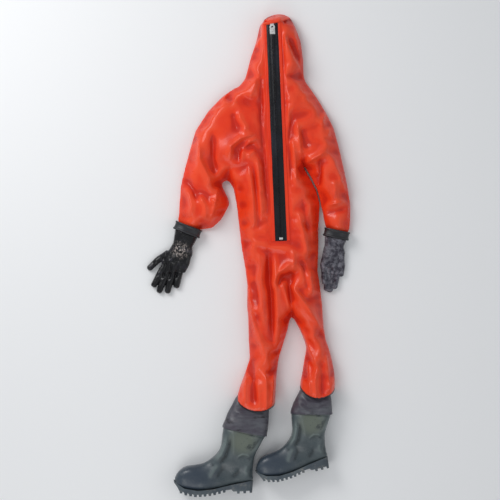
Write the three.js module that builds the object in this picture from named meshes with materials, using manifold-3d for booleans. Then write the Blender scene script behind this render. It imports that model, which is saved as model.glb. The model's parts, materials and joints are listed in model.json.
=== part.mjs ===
// A gas-tight chemical protective suit laid out flat on its back, in millimetres.
// +Y runs towards the hood, +Z out of the chest, +X to the wearer's left; the floor is z = 0.
// Coated-fabric panels are plain closed solids; every other piece has its working shape.
import * as THREE from "three";
import { mergeVertices } from "three/addons/utils/BufferGeometryUtils.js";
import Module from "manifold-3d";

const wasm = await Module();
wasm.setup();

// Driving dimensions
const GAP = 0.3; // between neighbouring solids
const TURN_GAP = 1; // round the disc that a limb turns in
const TALL = 400; // height of every cutting tool
const WIDE = 2000; // reach of a tool that cuts everything on one side
const TRUNK_HEIGHT = 84; // of the flattened, slightly puffed trunk
const LEG_HEIGHT = 82;
const SIDE_SEAM = 35; // height of the seam between the front and back panels
const SLEEVE_SEAM = 30;
const HEM_WIDTH = 9; // of the rubber band at each leg's end

const ZIP = {
  foot: [121, 57],
  lean: 2.4, // degrees, towards the wearer's right
  length: 849,
  tapeHalf: 22.5,
  bandHalf: 34,
  bedHeight: 77.7,
  tapeThickness: 1.4,
  bandThickness: 2.6,
  chainHalf: 5,
  chainHeight: 2.5,
  chainFrom: 16, // above the foot, clear of the bottom stop
  chainTo: 14, // below the top end, clear of the top stop
};
const STOP = { half: 7, length: 8, rise: 1.5, foot: 5, top: 11 };
const SLIDER = { at: 816, length: 26, half: 10, plate: 2.2, clearance: 0.4 };
const LUG = { across: 4.8, width: 2.4, depth: 6, crown: 2.6 }; // each side of the pull's eye
const PULL = {
  pin: 1,
  pinLength: 11.6,
  eye: 2.6,
  eyeWidth: 6.4,
  bore: 1.2,
  outer: 10.5,
  hole: 4.2,
  thickness: 2.2,
  reach: 13.5,
  root: 4.4, // the ring starts this far from the pin, clear of the lugs as it turns
};

// Where each limb turns, and the radius of the round end that it turns in
const PIVOTS = {
  right_shoulder: { at: [-109, 450], radius: 115, along: [-0.55, -0.83] },
  left_shoulder: { at: [250, 462], radius: 100, along: [0.24, -0.97] },
  right_wrist: { at: [-269, 14], radius: 46, along: [-0.3, -0.95] },
  left_wrist: { at: [330, 8], radius: 43, along: [-0.05, -1] },
  right_knee: { at: [65, -330], radius: 74, along: [0, -1] },
  left_knee: { at: [259, -345], radius: 46, along: [0.05, -1] },
  right_ankle: { at: [30, -505], radius: 104, along: [-0.25, -0.97] },
  left_ankle: { at: [266, -474], radius: 84, along: [-0.2, -0.98] },
};

const fabric = new THREE.MeshStandardMaterial({ color: 0xe0391f, roughness: 0.38 });
const zipTape = new THREE.MeshStandardMaterial({ color: 0x1b1c20, roughness: 0.5 });
const zipMetal = new THREE.MeshStandardMaterial({ color: 0xdcdcd8, roughness: 0.3, metalness: 0.8 });
const cuffRubber = new THREE.MeshStandardMaterial({ color: 0x2b2d33, roughness: 0.45 });
const ringPlastic = new THREE.MeshStandardMaterial({ color: 0x3a3d42, roughness: 0.5 });
const gloveBlack = new THREE.MeshStandardMaterial({ color: 0x2a2a2c, roughness: 0.35 });
const gloveGrey = new THREE.MeshStandardMaterial({ color: 0x4a4954, roughness: 0.55 });
const bootRubber = new THREE.MeshStandardMaterial({ color: 0x56635f, roughness: 0.45 });
const soleRubber = new THREE.MeshStandardMaterial({ color: 0x505a62, roughness: 0.6 });
const bootlegRubber = new THREE.MeshStandardMaterial({ color: 0x514f5a, roughness: 0.5 });
const feltInsole = new THREE.MeshStandardMaterial({ color: 0x6d675c, roughness: 0.95 });
const toeSteel = new THREE.MeshStandardMaterial({ color: 0x9a9da0, roughness: 0.4, metalness: 0.9 });

// Solids and meshes

// A closed geometry as a solid that faces out, whichever way its faces were wound.
function solidOf(geometry) {
  const bare = geometry.index ? geometry.toNonIndexed() : geometry.clone();
  bare.deleteAttribute("normal");
  bare.deleteAttribute("uv");
  const merged = mergeVertices(bare, 1e-4);
  const make = (triVerts) =>
    new wasm.Manifold(
      new wasm.Mesh({ numProp: 3, vertProperties: merged.attributes.position.array, triVerts }),
    );
  const corners = new Uint32Array(merged.index.array);
  const made = make(corners);
  return made.volume() > 0 ? made : make(corners.reverse());
}

// The largest body of a cut solid: slivers that a cut leaves behind are dropped.
function largest(solid) {
  return solid.decompose().reduce((a, b) => (a.volume() > b.volume() ? a : b));
}

function meshOf(name, solid, material) {
  const { vertProperties, triVerts } = largest(solid).getMesh();
  const geometry = new THREE.BufferGeometry();
  geometry.setAttribute("position", new THREE.BufferAttribute(vertProperties, 3));
  geometry.setIndex(new THREE.BufferAttribute(triVerts, 1));
  geometry.computeVertexNormals();
  const mesh = new THREE.Mesh(geometry, material);
  mesh.name = name;
  return mesh;
}

const union = (...solids) => solids.reduce((a, b) => a.add(b));

function box(width, depth, height, x = 0, y = 0, z = 0) {
  return solidOf(new THREE.BoxGeometry(width, depth, height).translate(x, y, z));
}

// An upright round tool standing through everything at a point in plan.
function disc([x, y], radius, segments = 40) {
  return solidOf(
    new THREE.CylinderGeometry(radius, radius, TALL, segments).rotateX(Math.PI / 2).translate(x, y, 0),
  );
}

// Everything past the line that crosses `along` at `at`, `back` millimetres early.
function beyond([x, y], along, back = 0) {
  const heading = Math.atan2(along[1], along[0]);
  const slab = new THREE.BoxGeometry(WIDE, 2 * WIDE, TALL).translate(WIDE / 2 - back, 0, 0);
  return solidOf(slab.rotateZ(heading).translate(x, y, 0));
}

const above = (z) => box(2 * WIDE, 2 * WIDE, TALL, 0, 0, z + TALL / 2);
const below = (z) => box(2 * WIDE, 2 * WIDE, TALL, 0, 0, z - TALL / 2);

// Soft lofts

const softened = (value, power) => Math.sign(value) * Math.abs(value) ** power;

// A cross-section on the chord from (ax, ay) to (bx, by): a rounded loop, widest at `belly` of its
// height and flat where it would dip under its base. It stands on the floor, or is centred on the
// level `middle`. `inset` shrinks it all round, and `power` under 1 squares its corners.
function ring([ax, ay, bx, by, height], options) {
  const { middle, belly = 0.42, sides = 14, power = 0.75, inset = 0 } = options;
  const shrink = 1 - (2 * inset) / Math.hypot(bx - ax, by - ay);
  const low = (middle === undefined ? 0 : middle - height / 2) + inset;
  const tall = height - 2 * inset;
  return Array.from({ length: sides }, (_, i) => {
    const turn = (i / sides) * 2 * Math.PI;
    const across = 0.5 + 0.5 * shrink * softened(Math.cos(turn), power);
    const up = belly + (1 - belly) * softened(Math.sin(turn), power);
    return [ax + (bx - ax) * across, ay + (by - ay) * across, low + Math.max(0, tall * up)];
  });
}

// A closed skin over a row of cross-sections, capped by a fan at each end.
function loft(stations, options = {}) {
  const rings = stations.map((station) => ring(station, options));
  const sides = rings[0].length;
  const points = rings.flat();
  const centre = (loop) => [0, 1, 2].map((k) => loop.reduce((sum, p) => sum + p[k], 0) / sides);
  points.push(centre(rings[0]), centre(rings.at(-1)));
  const first = points.length - 2;
  const end = (rings.length - 1) * sides;
  const faces = [];
  for (let i = 0; i < sides; i++) {
    const next = (i + 1) % sides;
    for (let r = 0; r < end; r += sides) {
      faces.push(r + i, r + next, r + sides + next, r + i, r + sides + next, r + sides + i);
    }
    faces.push(first, next, i, first + 1, end + i, end + next);
  }
  const geometry = new THREE.BufferGeometry();
  geometry.setAttribute("position", new THREE.Float32BufferAttribute(points.flat(), 3));
  geometry.setIndex(faces);
  return solidOf(geometry);
}

// The upright prism over the outline of a loft in plan, grown sideways by `grow`.
function footprint(stations, grow) {
  const edge = (sign) =>
    stations.map(([ax, ay, bx, by]) => {
      const half = new THREE.Vector2(bx - ax, by - ay).multiplyScalar(0.5);
      const mid = new THREE.Vector2(ax, ay).add(half);
      return mid.addScaledVector(half, sign * (1 + grow / half.length()));
    });
  const shape = new THREE.Shape([...edge(-1), ...edge(1).reverse()]);
  return solidOf(
    new THREE.ExtrudeGeometry(shape, { depth: TALL, bevelEnabled: false }).translate(0, 0, -TALL / 2),
  );
}

// Front and back panels of a limb, welded along a level seam.
function panels(prefix, limb, seam) {
  return [
    meshOf(`${prefix}_front`, limb.intersect(above(seam + GAP / 2)), fabric),
    meshOf(`${prefix}_back`, limb.intersect(below(seam - GAP / 2)), fabric),
  ];
}

// Outlines in plan: [edge x, edge y, other edge x, other edge y, height] at each station

const NECK = 690; // level of the seam between hood and torso
const HIPS = -60; // level of the seam between torso and legs

const HOOD = [
  [100, 943, 130, 943, 40],
  [66, 931, 156, 931, 66],
  [37, 899, 176, 899, TRUNK_HEIGHT],
  [24, 840, 199, 840, TRUNK_HEIGHT],
  [0, 770, 209, 770, TRUNK_HEIGHT],
  [-18, 700, 212, 700, TRUNK_HEIGHT],
  [-21, 690, 214, 690, TRUNK_HEIGHT],
];

const BROW = { edge: [41, 906], rise: [-0.2, 0.98] }; // the forehead flap starts past this line

const TORSO = [
  [-21, 690, 214, 690],
  [-72, 630, 244, 630],
  [-100, 583, 262, 583],
  [-106, 501, 262, 501],
  [-98, 411, 236, 419],
  [-88, 340, 210, 352],
  [-88, 297, 238, 300],
  [-67, 262, 262, 255],
  [-55, 200, 274, 200],
  [-45, 113, 271, 113],
  [-36, 38, 271, 38],
  [-19, -60, 266, -60],
].map((edges) => [...edges, TRUNK_HEIGHT]);

const RIGHT_SLEEVE = [
  [-55, 661, 8, 341, 80],
  [-109, 624, -39, 306, 80],
  [-164, 567, -86, 294, 80],
  [-214, 489, -111, 283, 78],
  [-237, 411, -103, 259, 76],
  [-257, 337, -83, 222, 74],
  [-273, 271, -80, 195, 70],
  [-277, 205, -109, 142, 66],
  [-279, 166, -145, 108, 62],
  [-283, 136, -192, 101, 56],
];

const LEFT_SLEEVE = [
  [218, 681, 148, 411, 80],
  [257, 626, 195, 380, 80],
  [296, 564, 211, 349, 80],
  [328, 501, 224, 326, 78],
  [349, 423, 246, 291, 76],
  [367, 345, 262, 252, 74],
  [384, 263, 276, 205, 70],
  [394, 197, 278, 170, 66],
  [393, 142, 285, 130, 62],
  [389, 91, 293, 111, 56],
];

// A leg grows a little rounder towards the boot from its seventh station on.
function legStation(edges, i) {
  return [...edges, LEG_HEIGHT + 3 * Math.max(0, i - 6)];
}

const RIGHT_LEG = [
  [-19, -60, 157, -60],
  [-12, -120, 158, -120],
  [-13, -198, 158, -198],
  [-9, -240, 160, -240],
  [-7, -295, 147, -295],
  [-6, -330, 136, -330],
  [-2, -405, 114, -400],
  [-22, -463, 106, -455],
  [-40, -510, 102, -515],
  [-52, -552, 100, -565],
  [-58, -602, 96, -620],
].map(legStation);

const LEFT_LEG = [
  [158, -60, 266, -60],
  [159, -120, 274, -115],
  [160, -198, 284, -195],
  [166, -240, 286, -240],
  [194, -290, 290, -285],
  [213, -335, 298, -335],
  [220, -362, 309, -362],
  [211, -408, 323, -415],
  [204, -455, 332, -462],
  [196, -490, 333, -500],
  [190, -560, 330, -560],
].map(legStation);

// Zip: built along its own +Y from the foot, then laid on the chest

const zipFrame = new THREE.Matrix4()
  .makeTranslation(ZIP.foot[0], ZIP.foot[1], 0)
  .multiply(new THREE.Matrix4().makeRotationZ(THREE.MathUtils.degToRad(ZIP.lean)));

const zipGroup = new THREE.Group();
zipGroup.applyMatrix4(zipFrame);

// A bar along the zip between two levels, from x0 to x1 across and y0 to y1 along it.
function zipBar(x0, x1, y0, y1, z0, z1) {
  return box(x1 - x0, y1 - y0, z1 - z0, (x0 + x1) / 2, (y0 + y1) / 2, (z0 + z1) / 2);
}

const onChest = (bar) => bar.transform(zipFrame.toArray());

const tapeBase = ZIP.bedHeight + GAP;
const chainBase = tapeBase + ZIP.tapeThickness + GAP;
const chainTop = chainBase + ZIP.chainHeight;
const plateBase = chainTop + SLIDER.clearance;
const plateTop = plateBase + SLIDER.plate;
const pinHeight = plateTop + PULL.eye + SLIDER.clearance;

function makeZip() {
  for (const [side, sign] of [["right", -1], ["left", 1]]) {
    const half = (near, far, y0, y1, z0, z1) =>
      zipBar(Math.min(sign * near, sign * far), Math.max(sign * near, sign * far), y0, y1, z0, z1);
    const tapeTop = tapeBase + ZIP.tapeThickness;
    const bandTop = tapeBase + ZIP.bandThickness;
    const tape = half(GAP / 2, ZIP.tapeHalf, 0, ZIP.length, tapeBase, tapeTop);
    const chainEnd = ZIP.length - ZIP.chainTo;
    const chain = half(GAP / 2, ZIP.chainHalf, ZIP.chainFrom, chainEnd, chainBase, chainTop);
    const band = half(ZIP.tapeHalf + GAP, ZIP.bandHalf, 0, ZIP.length, tapeBase, bandTop);
    zipGroup.add(
      meshOf(`zip_tape_${side}`, tape, zipTape),
      meshOf(`zip_chain_${side}`, chain, zipTape),
      meshOf(`zip_weld_band_${side}`, band, fabric),
    );
  }
  const stop = (y) =>
    zipBar(-STOP.half, STOP.half, y, y + STOP.length, chainBase, chainTop + STOP.rise);
  zipGroup.add(
    meshOf("zip_bottom_stop", stop(STOP.foot), zipMetal),
    meshOf("zip_top_stop", stop(ZIP.length - STOP.top), zipMetal),
  );
}

// A slider plate with a cheek down each side of the chain, and two lugs for the pull's pin.
function makeSlider() {
  const { at, length, half, plate, clearance } = SLIDER;
  const plan = new THREE.Shape();
  plan.moveTo(-half, -length / 2);
  plan.lineTo(half, -length / 2);
  plan.lineTo(half, length / 4);
  plan.quadraticCurveTo(half, length / 2, 0, length / 2);
  plan.quadraticCurveTo(-half, length / 2, -half, length / 4);
  const outline = (depth, z) =>
    solidOf(new THREE.ExtrudeGeometry(plan, { depth, bevelEnabled: false }).translate(0, at, z));
  const channel = ZIP.chainHalf + clearance;
  const cheeks = outline(plateBase - chainBase + GAP, chainBase - GAP / 2).subtract(
    zipBar(-channel, channel, at - length, at + length, 0, plateBase),
  );
  const lugTop = pinHeight + LUG.crown;
  const lug = (sign) =>
    box(LUG.width, LUG.depth, lugTop - plateTop, sign * LUG.across, at, (lugTop + plateTop) / 2);
  const pinHole = rod(PULL.pin + 0.1, 2 * half, at);
  return union(outline(plate, plateBase), cheeks, lug(-1), lug(1)).subtract(pinHole);
}

// A round bar across the zip at the pin's height.
function rod(radius, length, y) {
  const bar = new THREE.CylinderGeometry(radius, radius, length, 12).rotateZ(Math.PI / 2);
  return solidOf(bar.translate(0, y, pinHeight));
}

// A flat round pull whose eye turns on the pin; it lies towards the hood.
function makePull() {
  const { eye, eyeWidth, bore, outer, hole, thickness, reach, root } = PULL;
  const plan = new THREE.Shape().absarc(0, reach, outer, 0, 2 * Math.PI);
  plan.holes.push(new THREE.Path().absarc(0, reach, hole, 0, 2 * Math.PI));
  const flat = { depth: thickness, bevelEnabled: false, curveSegments: 10 };
  const plate = new THREE.ExtrudeGeometry(plan, flat);
  plate.translate(0, SLIDER.at, pinHeight - thickness / 2);
  const aroundPin = box(4 * outer, 2 * root, 2 * outer, 0, SLIDER.at, pinHeight);
  const neckLength = root + 2;
  const neck = box(eyeWidth - GAP, neckLength, thickness, 0, SLIDER.at + neckLength / 2, pinHeight);
  return union(
    solidOf(plate).subtract(aroundPin),
    neck,
    rod(eye, eyeWidth, SLIDER.at),
  ).subtract(rod(bore, 2 * outer, SLIDER.at));
}

// Trunk: torso and hood, cut round the shoulders and bedded for the zip

// The sleeve with its round shoulder, and the stub of it that stays on the trunk.
function cutSleeve(stations, { at, radius, along }) {
  const whole = loft(stations);
  const arm = whole.intersect(beyond(at, along)).subtract(footprint(TORSO, TURN_GAP));
  const shoulder = union(whole, loft(TORSO)).intersect(disc(at, radius));
  const taken = union(disc(at, radius + TURN_GAP), beyond(at, along, TURN_GAP));
  return { sleeve: largest(union(arm, shoulder)), stub: whole.subtract(taken) };
}

const rightArm = cutSleeve(RIGHT_SLEEVE, PIVOTS.right_shoulder);
const leftArm = cutSleeve(LEFT_SLEEVE, PIVOTS.left_shoulder);

function makeTrunk() {
  const { foot, length, bandHalf, bedHeight } = ZIP;
  const bed = onChest(zipBar(-bandHalf - GAP, bandHalf + GAP, -GAP, length + GAP, bedHeight, TALL));
  const rightOfZip = onChest(zipBar(-WIDE, -GAP / 2, -WIDE, WIDE, -TALL, TALL));
  const leftOfZip = onChest(zipBar(GAP / 2, WIDE, -WIDE, WIDE, -TALL, TALL));
  const front = above(SIDE_SEAM + GAP / 2);
  const back = below(SIDE_SEAM - GAP / 2);

  const torso = union(loft(TORSO), rightArm.stub, leftArm.stub)
    .subtract(disc(PIVOTS.right_shoulder.at, PIVOTS.right_shoulder.radius + TURN_GAP))
    .subtract(disc(PIVOTS.left_shoulder.at, PIVOTS.left_shoulder.radius + TURN_GAP))
    .subtract(beyond([0, NECK - GAP], [0, 1]))
    .subtract(bed);
  const hood = loft(HOOD).subtract(bed).subtract(beyond([0, NECK], [0, -1]));
  const brow = beyond(BROW.edge, BROW.rise);
  const hoodFront = hood.intersect(front).subtract(beyond(BROW.edge, BROW.rise, GAP));
  return [
    meshOf("torso_back", torso.intersect(back), fabric),
    meshOf("torso_front_right", torso.intersect(front).intersect(rightOfZip), fabric),
    meshOf("torso_front_left", torso.intersect(front).intersect(leftOfZip), fabric),
    meshOf("hood_back", hood.intersect(back), fabric),
    meshOf("hood_front_right", hoodFront.intersect(rightOfZip), fabric),
    meshOf("hood_front_left", hoodFront.intersect(leftOfZip), fabric),
    meshOf("hood_brow", hood.intersect(front).intersect(brow), fabric),
  ];
}

// Legs: a thigh that stays with the trunk and a shin that ends in a round hem band

function makeLeg(side, stations, knee, ankle) {
  const whole = loft(stations);
  const hips = beyond([0, HIPS - GAP], [0, -1]);
  const turned = union(disc(knee.at, knee.radius), beyond(knee.at, knee.along));
  const kept = union(disc(knee.at, knee.radius + TURN_GAP), beyond(knee.at, knee.along, TURN_GAP));
  const lower = whole.intersect(turned);
  const sock = disc(ankle.at, ankle.radius - HEM_WIDTH);
  const shin = lower.subtract(beyond(ankle.at, ankle.along).subtract(sock));
  const hem = disc(ankle.at, ankle.radius)
    .subtract(disc(ankle.at, ankle.radius - HEM_WIDTH + GAP))
    .intersect(beyond(ankle.at, ankle.along, -GAP));
  return {
    thigh: panels(`${side}_thigh`, whole.subtract(kept).intersect(hips), SIDE_SEAM),
    shin: [
      ...panels(`${side}_shin`, shin, SIDE_SEAM),
      meshOf(`${side}_leg_hem_band`, lower.intersect(hem), bootlegRubber),
    ],
  };
}

// Cuffs: an oval hard ring inside a rubber band at the sleeve's end, each in its own frame with
// +X across the arm and -Y towards the hand

const CUFFS = {
  right: { at: [-243.5, 101.5], lean: -21, width: 112, height: 62, length: 33 },
  left: { at: [338, 84], lean: -12, width: 104, height: 60, length: 33 },
};
const BAND_WALL = 8;
const RING_WALL = 4;
const NECK_OVERLAP = 12; // of the sleeve's neck into the sleeve

// An oval bar between two levels along the arm, `inset` smaller all round than the cuff's outside.
function oval({ width, height }, inset, low, high) {
  const level = (y) => [-width / 2, y, width / 2, y, height];
  return loft([level(high), level(low)], { belly: 0.5, sides: 20, power: 0.9, inset });
}

function atCuff({ lean, at }, solid) {
  const turn = new THREE.Matrix4().makeRotationZ(THREE.MathUtils.degToRad(lean));
  return solid.transform(turn.setPosition(at[0], at[1], 0).toArray());
}

function makeCuff(side) {
  const cuff = CUFFS[side];
  const end = cuff.length / 2;
  const tube = (outer, wall) =>
    oval(cuff, outer, -end, end).subtract(oval(cuff, outer + wall, -end - 1, end + 1));
  return [
    meshOf(`${side}_cuff_band`, atCuff(cuff, tube(0, BAND_WALL)), cuffRubber),
    meshOf(`${side}_cuff_ring`, atCuff(cuff, tube(BAND_WALL + GAP, RING_WALL)), ringPlastic),
  ];
}

// The sleeve stops at the cuff, and a narrower neck of it runs on through the ring.
function makeSleeve(side, sleeve) {
  const cuff = CUFFS[side];
  const end = cuff.length / 2;
  const past = box(TALL, TALL, TALL, 0, end + GAP - TALL / 2);
  const neck = oval(cuff, BAND_WALL + RING_WALL + 2 * GAP, 1 - end, end + NECK_OVERLAP);
  const whole = union(sleeve.subtract(atCuff(cuff, past)), atCuff(cuff, neck));
  return panels(`${side}_sleeve`, whole, SLEEVE_SEAM);
}

// Gloves: a gauntlet that stays with the sleeve and a hand that turns in it at the wrist

const GLOVES = {
  right: {
    gauntlet: [[-300, 49, -226, 33, 40], [-318, 20, -226, -2, 36]],
    palm: [[-316, 24, -227, 2, 34], [-345, -22, -238, -36, 34], [-352, -66, -254, -66, 28]],
    fingers: [
      [[-318, 10], [-356, -14], [-400, -55]],
      [[-341, -49], [-360, -86], [-381, -123]],
      [[-322, -55], [-340, -100], [-358, -147]],
      [[-299, -55], [-312, -100], [-325, -148]],
      [[-272, -45], [-281, -86], [-290, -127]],
    ],
  },
  left: {
    gauntlet: [[292, 40, 366, 34, 40], [284, 12, 372, 6, 36]],
    palm: [[286, 14, 370, 6, 34], [275, -34, 369, -40, 34], [280, -72, 352, -72, 28]],
    fingers: [
      [[355, 0], [359, -40], [354, -82]],
      [[338, -58], [335, -95], [329, -130]],
      [[319, -60], [316, -102], [312, -143]],
      [[303, -58], [302, -100], [301, -138]],
      [[292, -50], [293, -82], [294, -112]],
    ],
  },
};
const FINGER = { width: 26, height: 25 };
const MOUTH_SHARE = 0.82; // of the cuff's width that the gauntlet's mouth takes
const MOUTH_HEIGHT = 50;

// A finger laid along three points of its middle line, with a rounded tip.
function finger(line) {
  const curve = new THREE.SplineCurve(line.map(([x, y]) => new THREE.Vector2(x, y)));
  const stations = [0, 0.5, 0.92, 1].map((t, i) => {
    const p = curve.getPoint(t);
    const d = curve.getTangent(t);
    const half = (FINGER.width / 2) * [1, 1, 0.88, 0.45][i];
    const height = FINGER.height * [1, 1, 0.9, 0.55][i];
    return [p.x - d.y * half, p.y + d.x * half, p.x + d.y * half, p.y - d.x * half, height];
  });
  return loft(stations, { sides: 8, belly: 0.45 });
}

function makeGlove(side, material) {
  const { gauntlet, palm, fingers } = GLOVES[side];
  const { at, radius, along } = PIVOTS[`${side}_wrist`];
  const { width, length } = CUFFS[side];
  const mouth = new THREE.Matrix4().makeRotationZ(THREE.MathUtils.degToRad(CUFFS[side].lean));
  mouth.setPosition(...CUFFS[side].at, 0);
  const corner = (sign) => {
    const edge = new THREE.Vector3((sign * MOUTH_SHARE * width) / 2, -length / 2 - GAP, 0);
    return edge.applyMatrix4(mouth).toArray().slice(0, 2);
  };
  const cone = loft([[...corner(-1), ...corner(1), MOUTH_HEIGHT], ...gauntlet]);
  const sleeveEnd = cone.subtract(union(disc(at, radius + TURN_GAP), beyond(at, along, TURN_GAP)));
  const hand = union(loft(palm, { belly: 0.45 }), ...fingers.map(finger));
  const wrist = union(cone, loft(palm, { belly: 0.45 })).intersect(disc(at, radius));
  return {
    gauntlet: meshOf(`${side}_gauntlet`, sleeveEnd, material),
    hand: meshOf(`${side}_glove`, union(hand.intersect(beyond(at, along)), wrist), material),
  };
}

// Boots: each lies on its side in its own frame, heel at the origin, toe along -X, shaft along +Y

const BOOTS = {
  right: { heel: [10, -877], turn: 2.4, size: 0.98, rim: [[-62, -538], [103, -586]] },
  left: { heel: [301, -785], turn: 13.4, size: 0.91, rim: [[188, -492], [334, -518]] },
};
const BOOT_MIDDLE = 51.5; // height of the boot's middle plane above the floor
const BOOT_WALL = 4.5;
const STEEL = 1.6;
const INSOLE = 5;

// [front x, front y, back or sole x, y, width], from the mouth of the shaft to the toe
const UPPER = [
  [-105, 226, 63, 182, 98],
  [-112, 190, 46, 157, 98],
  [-119, 149, 26, 124, 95],
  [-129, 124, 11, 92, 91],
  [-147, 105, 4, 58, 86],
  [-170, 89, 1, 26, 78],
  [-190, 79, -4, 0, 74],
  [-212, 74, -60, -8, 76],
  [-235, 71, -120, -20, 86],
  [-259, 68, -175, -28, 96],
  [-280, 59, -225, -30, 95],
  [-297, 44, -268, -20, 80],
  [-307, 27, -297, -5, 50],
];
const MOUTH = [-102.5, 235.7, 65.5, 191.7, 98]; // a little past the shaft's mouth
const SOLE_LINE = [[2, 3], [-80, -9], [-155, -24], [-217, -27], [-271, -16], [-300, 3], [-313, 18]];
const SOLE_PLAN = [
  [3, 0],
  [-8, 27],
  [-40, 36],
  [-100, 35],
  [-160, 44],
  [-215, 51],
  [-262, 46],
  [-295, 29],
  [-314, 0],
];
const HEEL = { depth: 36, length: 78, pitch: 25, slope: 8 };
const TREAD = { depth: 15, from: -108, to: -285, pitch: 19 };
const TOE_SPRING = [[-300, -9], [-313, 8]];
const CLEAT = { depth: 9, width: 12, taper: 1.5 };
const TOE_CAP = { from: -236, wall: 2 };

const upperLoft = (inset, stations = UPPER) =>
  loft(stations, { middle: BOOT_MIDDLE, belly: 0.5, power: 0.62, sides: 16, inset });

// The space inside the upper: open at the mouth and stopping short of the toe's solid rubber.
const footSpace = (inset) => upperLoft(inset, [MOUTH, ...UPPER.slice(0, -1)]);

// A strip that follows the upper's underside between two heights above it, from heel to toe.
function underfoot(low, high, from, to) {
  const edge = (rise) => UPPER.slice(6).map(([, , x, y]) => new THREE.Vector2(x, y + rise));
  const shape = new THREE.Shape([...edge(low), ...edge(high).reverse()]);
  const strip = new THREE.ExtrudeGeometry(shape, { depth: TALL, bevelEnabled: false });
  return solidOf(strip).intersect(box(from - to, TALL, 2 * TALL, (from + to) / 2, 0, TALL));
}

const soleHeight = (x) => {
  const i = Math.max(1, SOLE_LINE.findIndex(([px]) => px <= x));
  const [[x0, y0], [x1, y1]] = [SOLE_LINE[i - 1], SOLE_LINE[i]];
  return y0 + ((y1 - y0) * (x - x0)) / (x1 - x0);
};

// The sole in side view: heel block, arch and forefoot, with cleats all along.
function makeOutsole() {
  const points = [SOLE_LINE[0]];
  const cleat = (x, y) => {
    const { width, depth, taper } = CLEAT;
    points.push([x, y], [x - taper, y - depth], [x - width + taper, y - depth], [x - width, y]);
  };
  for (let x = -2; x > CLEAT.width - HEEL.length; x -= HEEL.pitch) {
    cleat(x, -HEEL.depth);
  }
  const archY = soleHeight(-HEEL.length) - TREAD.depth - 4;
  points.push([-HEEL.length, -HEEL.depth], [-HEEL.length - HEEL.slope, archY]);
  for (let x = TREAD.from; x > TREAD.to; x -= TREAD.pitch) {
    cleat(x, soleHeight(x) - TREAD.depth);
  }
  points.push(...TOE_SPRING, ...SOLE_LINE.slice(1).reverse());
  const side = new THREE.Shape(points.map(([x, y]) => new THREE.Vector2(x, y)));
  const sideways = new THREE.ExtrudeGeometry(side, { depth: TALL, bevelEnabled: false });
  const half = SOLE_PLAN.map(([x, z]) => new THREE.Vector2(x, z));
  const mirrored = half.slice(1, -1).reverse().map(({ x, y }) => new THREE.Vector2(x, -y));
  const outline = new THREE.SplineCurve([...half, ...mirrored, half[0]]);
  const plan = new THREE.Shape().setFromPoints(outline.getPoints(40));
  const upright = new THREE.ExtrudeGeometry(plan, { depth: TALL, bevelEnabled: false });
  upright.rotateX(Math.PI / 2).translate(0, TALL / 2, BOOT_MIDDLE);
  sideways.translate(0, 0, BOOT_MIDDLE - TALL / 2);
  return solidOf(sideways).intersect(solidOf(upright)).subtract(upperLoft(-GAP));
}

function makeBoot(side) {
  const { heel, turn, size } = BOOTS[side];
  const steelTop = BOOT_WALL + 2 * GAP + STEEL;
  const insoleTop = steelTop + GAP + INSOLE;
  const lining = footSpace(BOOT_WALL + GAP);
  const toeHollow = footSpace(BOOT_WALL + GAP + TOE_CAP.wall).translate([TOE_CAP.wall, 0, 0]);
  const overToes = beyond([TOE_CAP.from, 0], [-1, 0]).subtract(
    underfoot(-TALL, insoleTop + GAP, TALL, -TALL),
  );
  const plateStrip = underfoot(BOOT_WALL + 2 * GAP, steelTop, -28, -232);
  const insoleStrip = underfoot(steelTop + GAP, insoleTop, -8, -282);
  const group = new THREE.Group();
  group.rotation.z = THREE.MathUtils.degToRad(turn);
  group.position.set(heel[0], heel[1], 0);
  group.scale.setScalar(size);
  group.add(
    meshOf(`${side}_boot_upper`, upperLoft(0).subtract(footSpace(BOOT_WALL)), bootRubber),
    meshOf(`${side}_boot_outsole`, makeOutsole(), soleRubber),
    meshOf(`${side}_boot_midsole_plate`, lining.intersect(plateStrip), toeSteel),
    meshOf(`${side}_boot_insole`, lining.intersect(insoleStrip), feltInsole),
    meshOf(`${side}_boot_toe_cap`, lining.subtract(toeHollow).intersect(overToes), toeSteel),
  );
  return group;
}

// The rubber bootleg between the leg's hem and the boot's mouth, hollowed for the leg's round end.
function makeBootleg(side) {
  const { heel, turn, size, rim } = BOOTS[side];
  const { at, radius, along } = PIVOTS[`${side}_ankle`];
  const angle = THREE.MathUtils.degToRad(turn);
  const world = ([x, y]) => {
    const point = new THREE.Vector2(x, y).multiplyScalar(size);
    return point.rotateAround(new THREE.Vector2(), angle).add(new THREE.Vector2(...heel));
  };
  const [frontX, frontY, backX, backY, width] = UPPER[0];
  const lift = 3 * GAP;
  const rimHeight = LEG_HEIGHT + 6;
  const mouth = [world([frontX, frontY + lift]), world([backX, backY + lift])];
  const top = rim.map(([x, y]) => new THREE.Vector2(x, y));
  const stations = [0, 0.35, 0.7, 1].map((t) => {
    const [a, b] = top.map((corner, i) => corner.clone().lerp(mouth[i], t));
    return [a.x, a.y, b.x, b.y, rimHeight + t * (width * size - rimHeight)];
  });
  const whole = loft(stations, { belly: 0.46 });
  const bootleg = whole.intersect(beyond(at, along, -TURN_GAP)).subtract(disc(at, radius + TURN_GAP));
  return meshOf(`${side}_bootleg`, bootleg, bootlegRubber);
}

// Assembly, with the origin under the middle of the whole suit

makeZip();
const slider = new THREE.Group();
slider.applyMatrix4(zipFrame);
slider.add(
  meshOf("zip_slider", makeSlider(), zipMetal),
  meshOf("zip_pull_pin", rod(PULL.pin, PULL.pinLength, SLIDER.at), zipMetal),
  meshOf("zip_pull_ring", makePull(), zipMetal),
);

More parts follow.
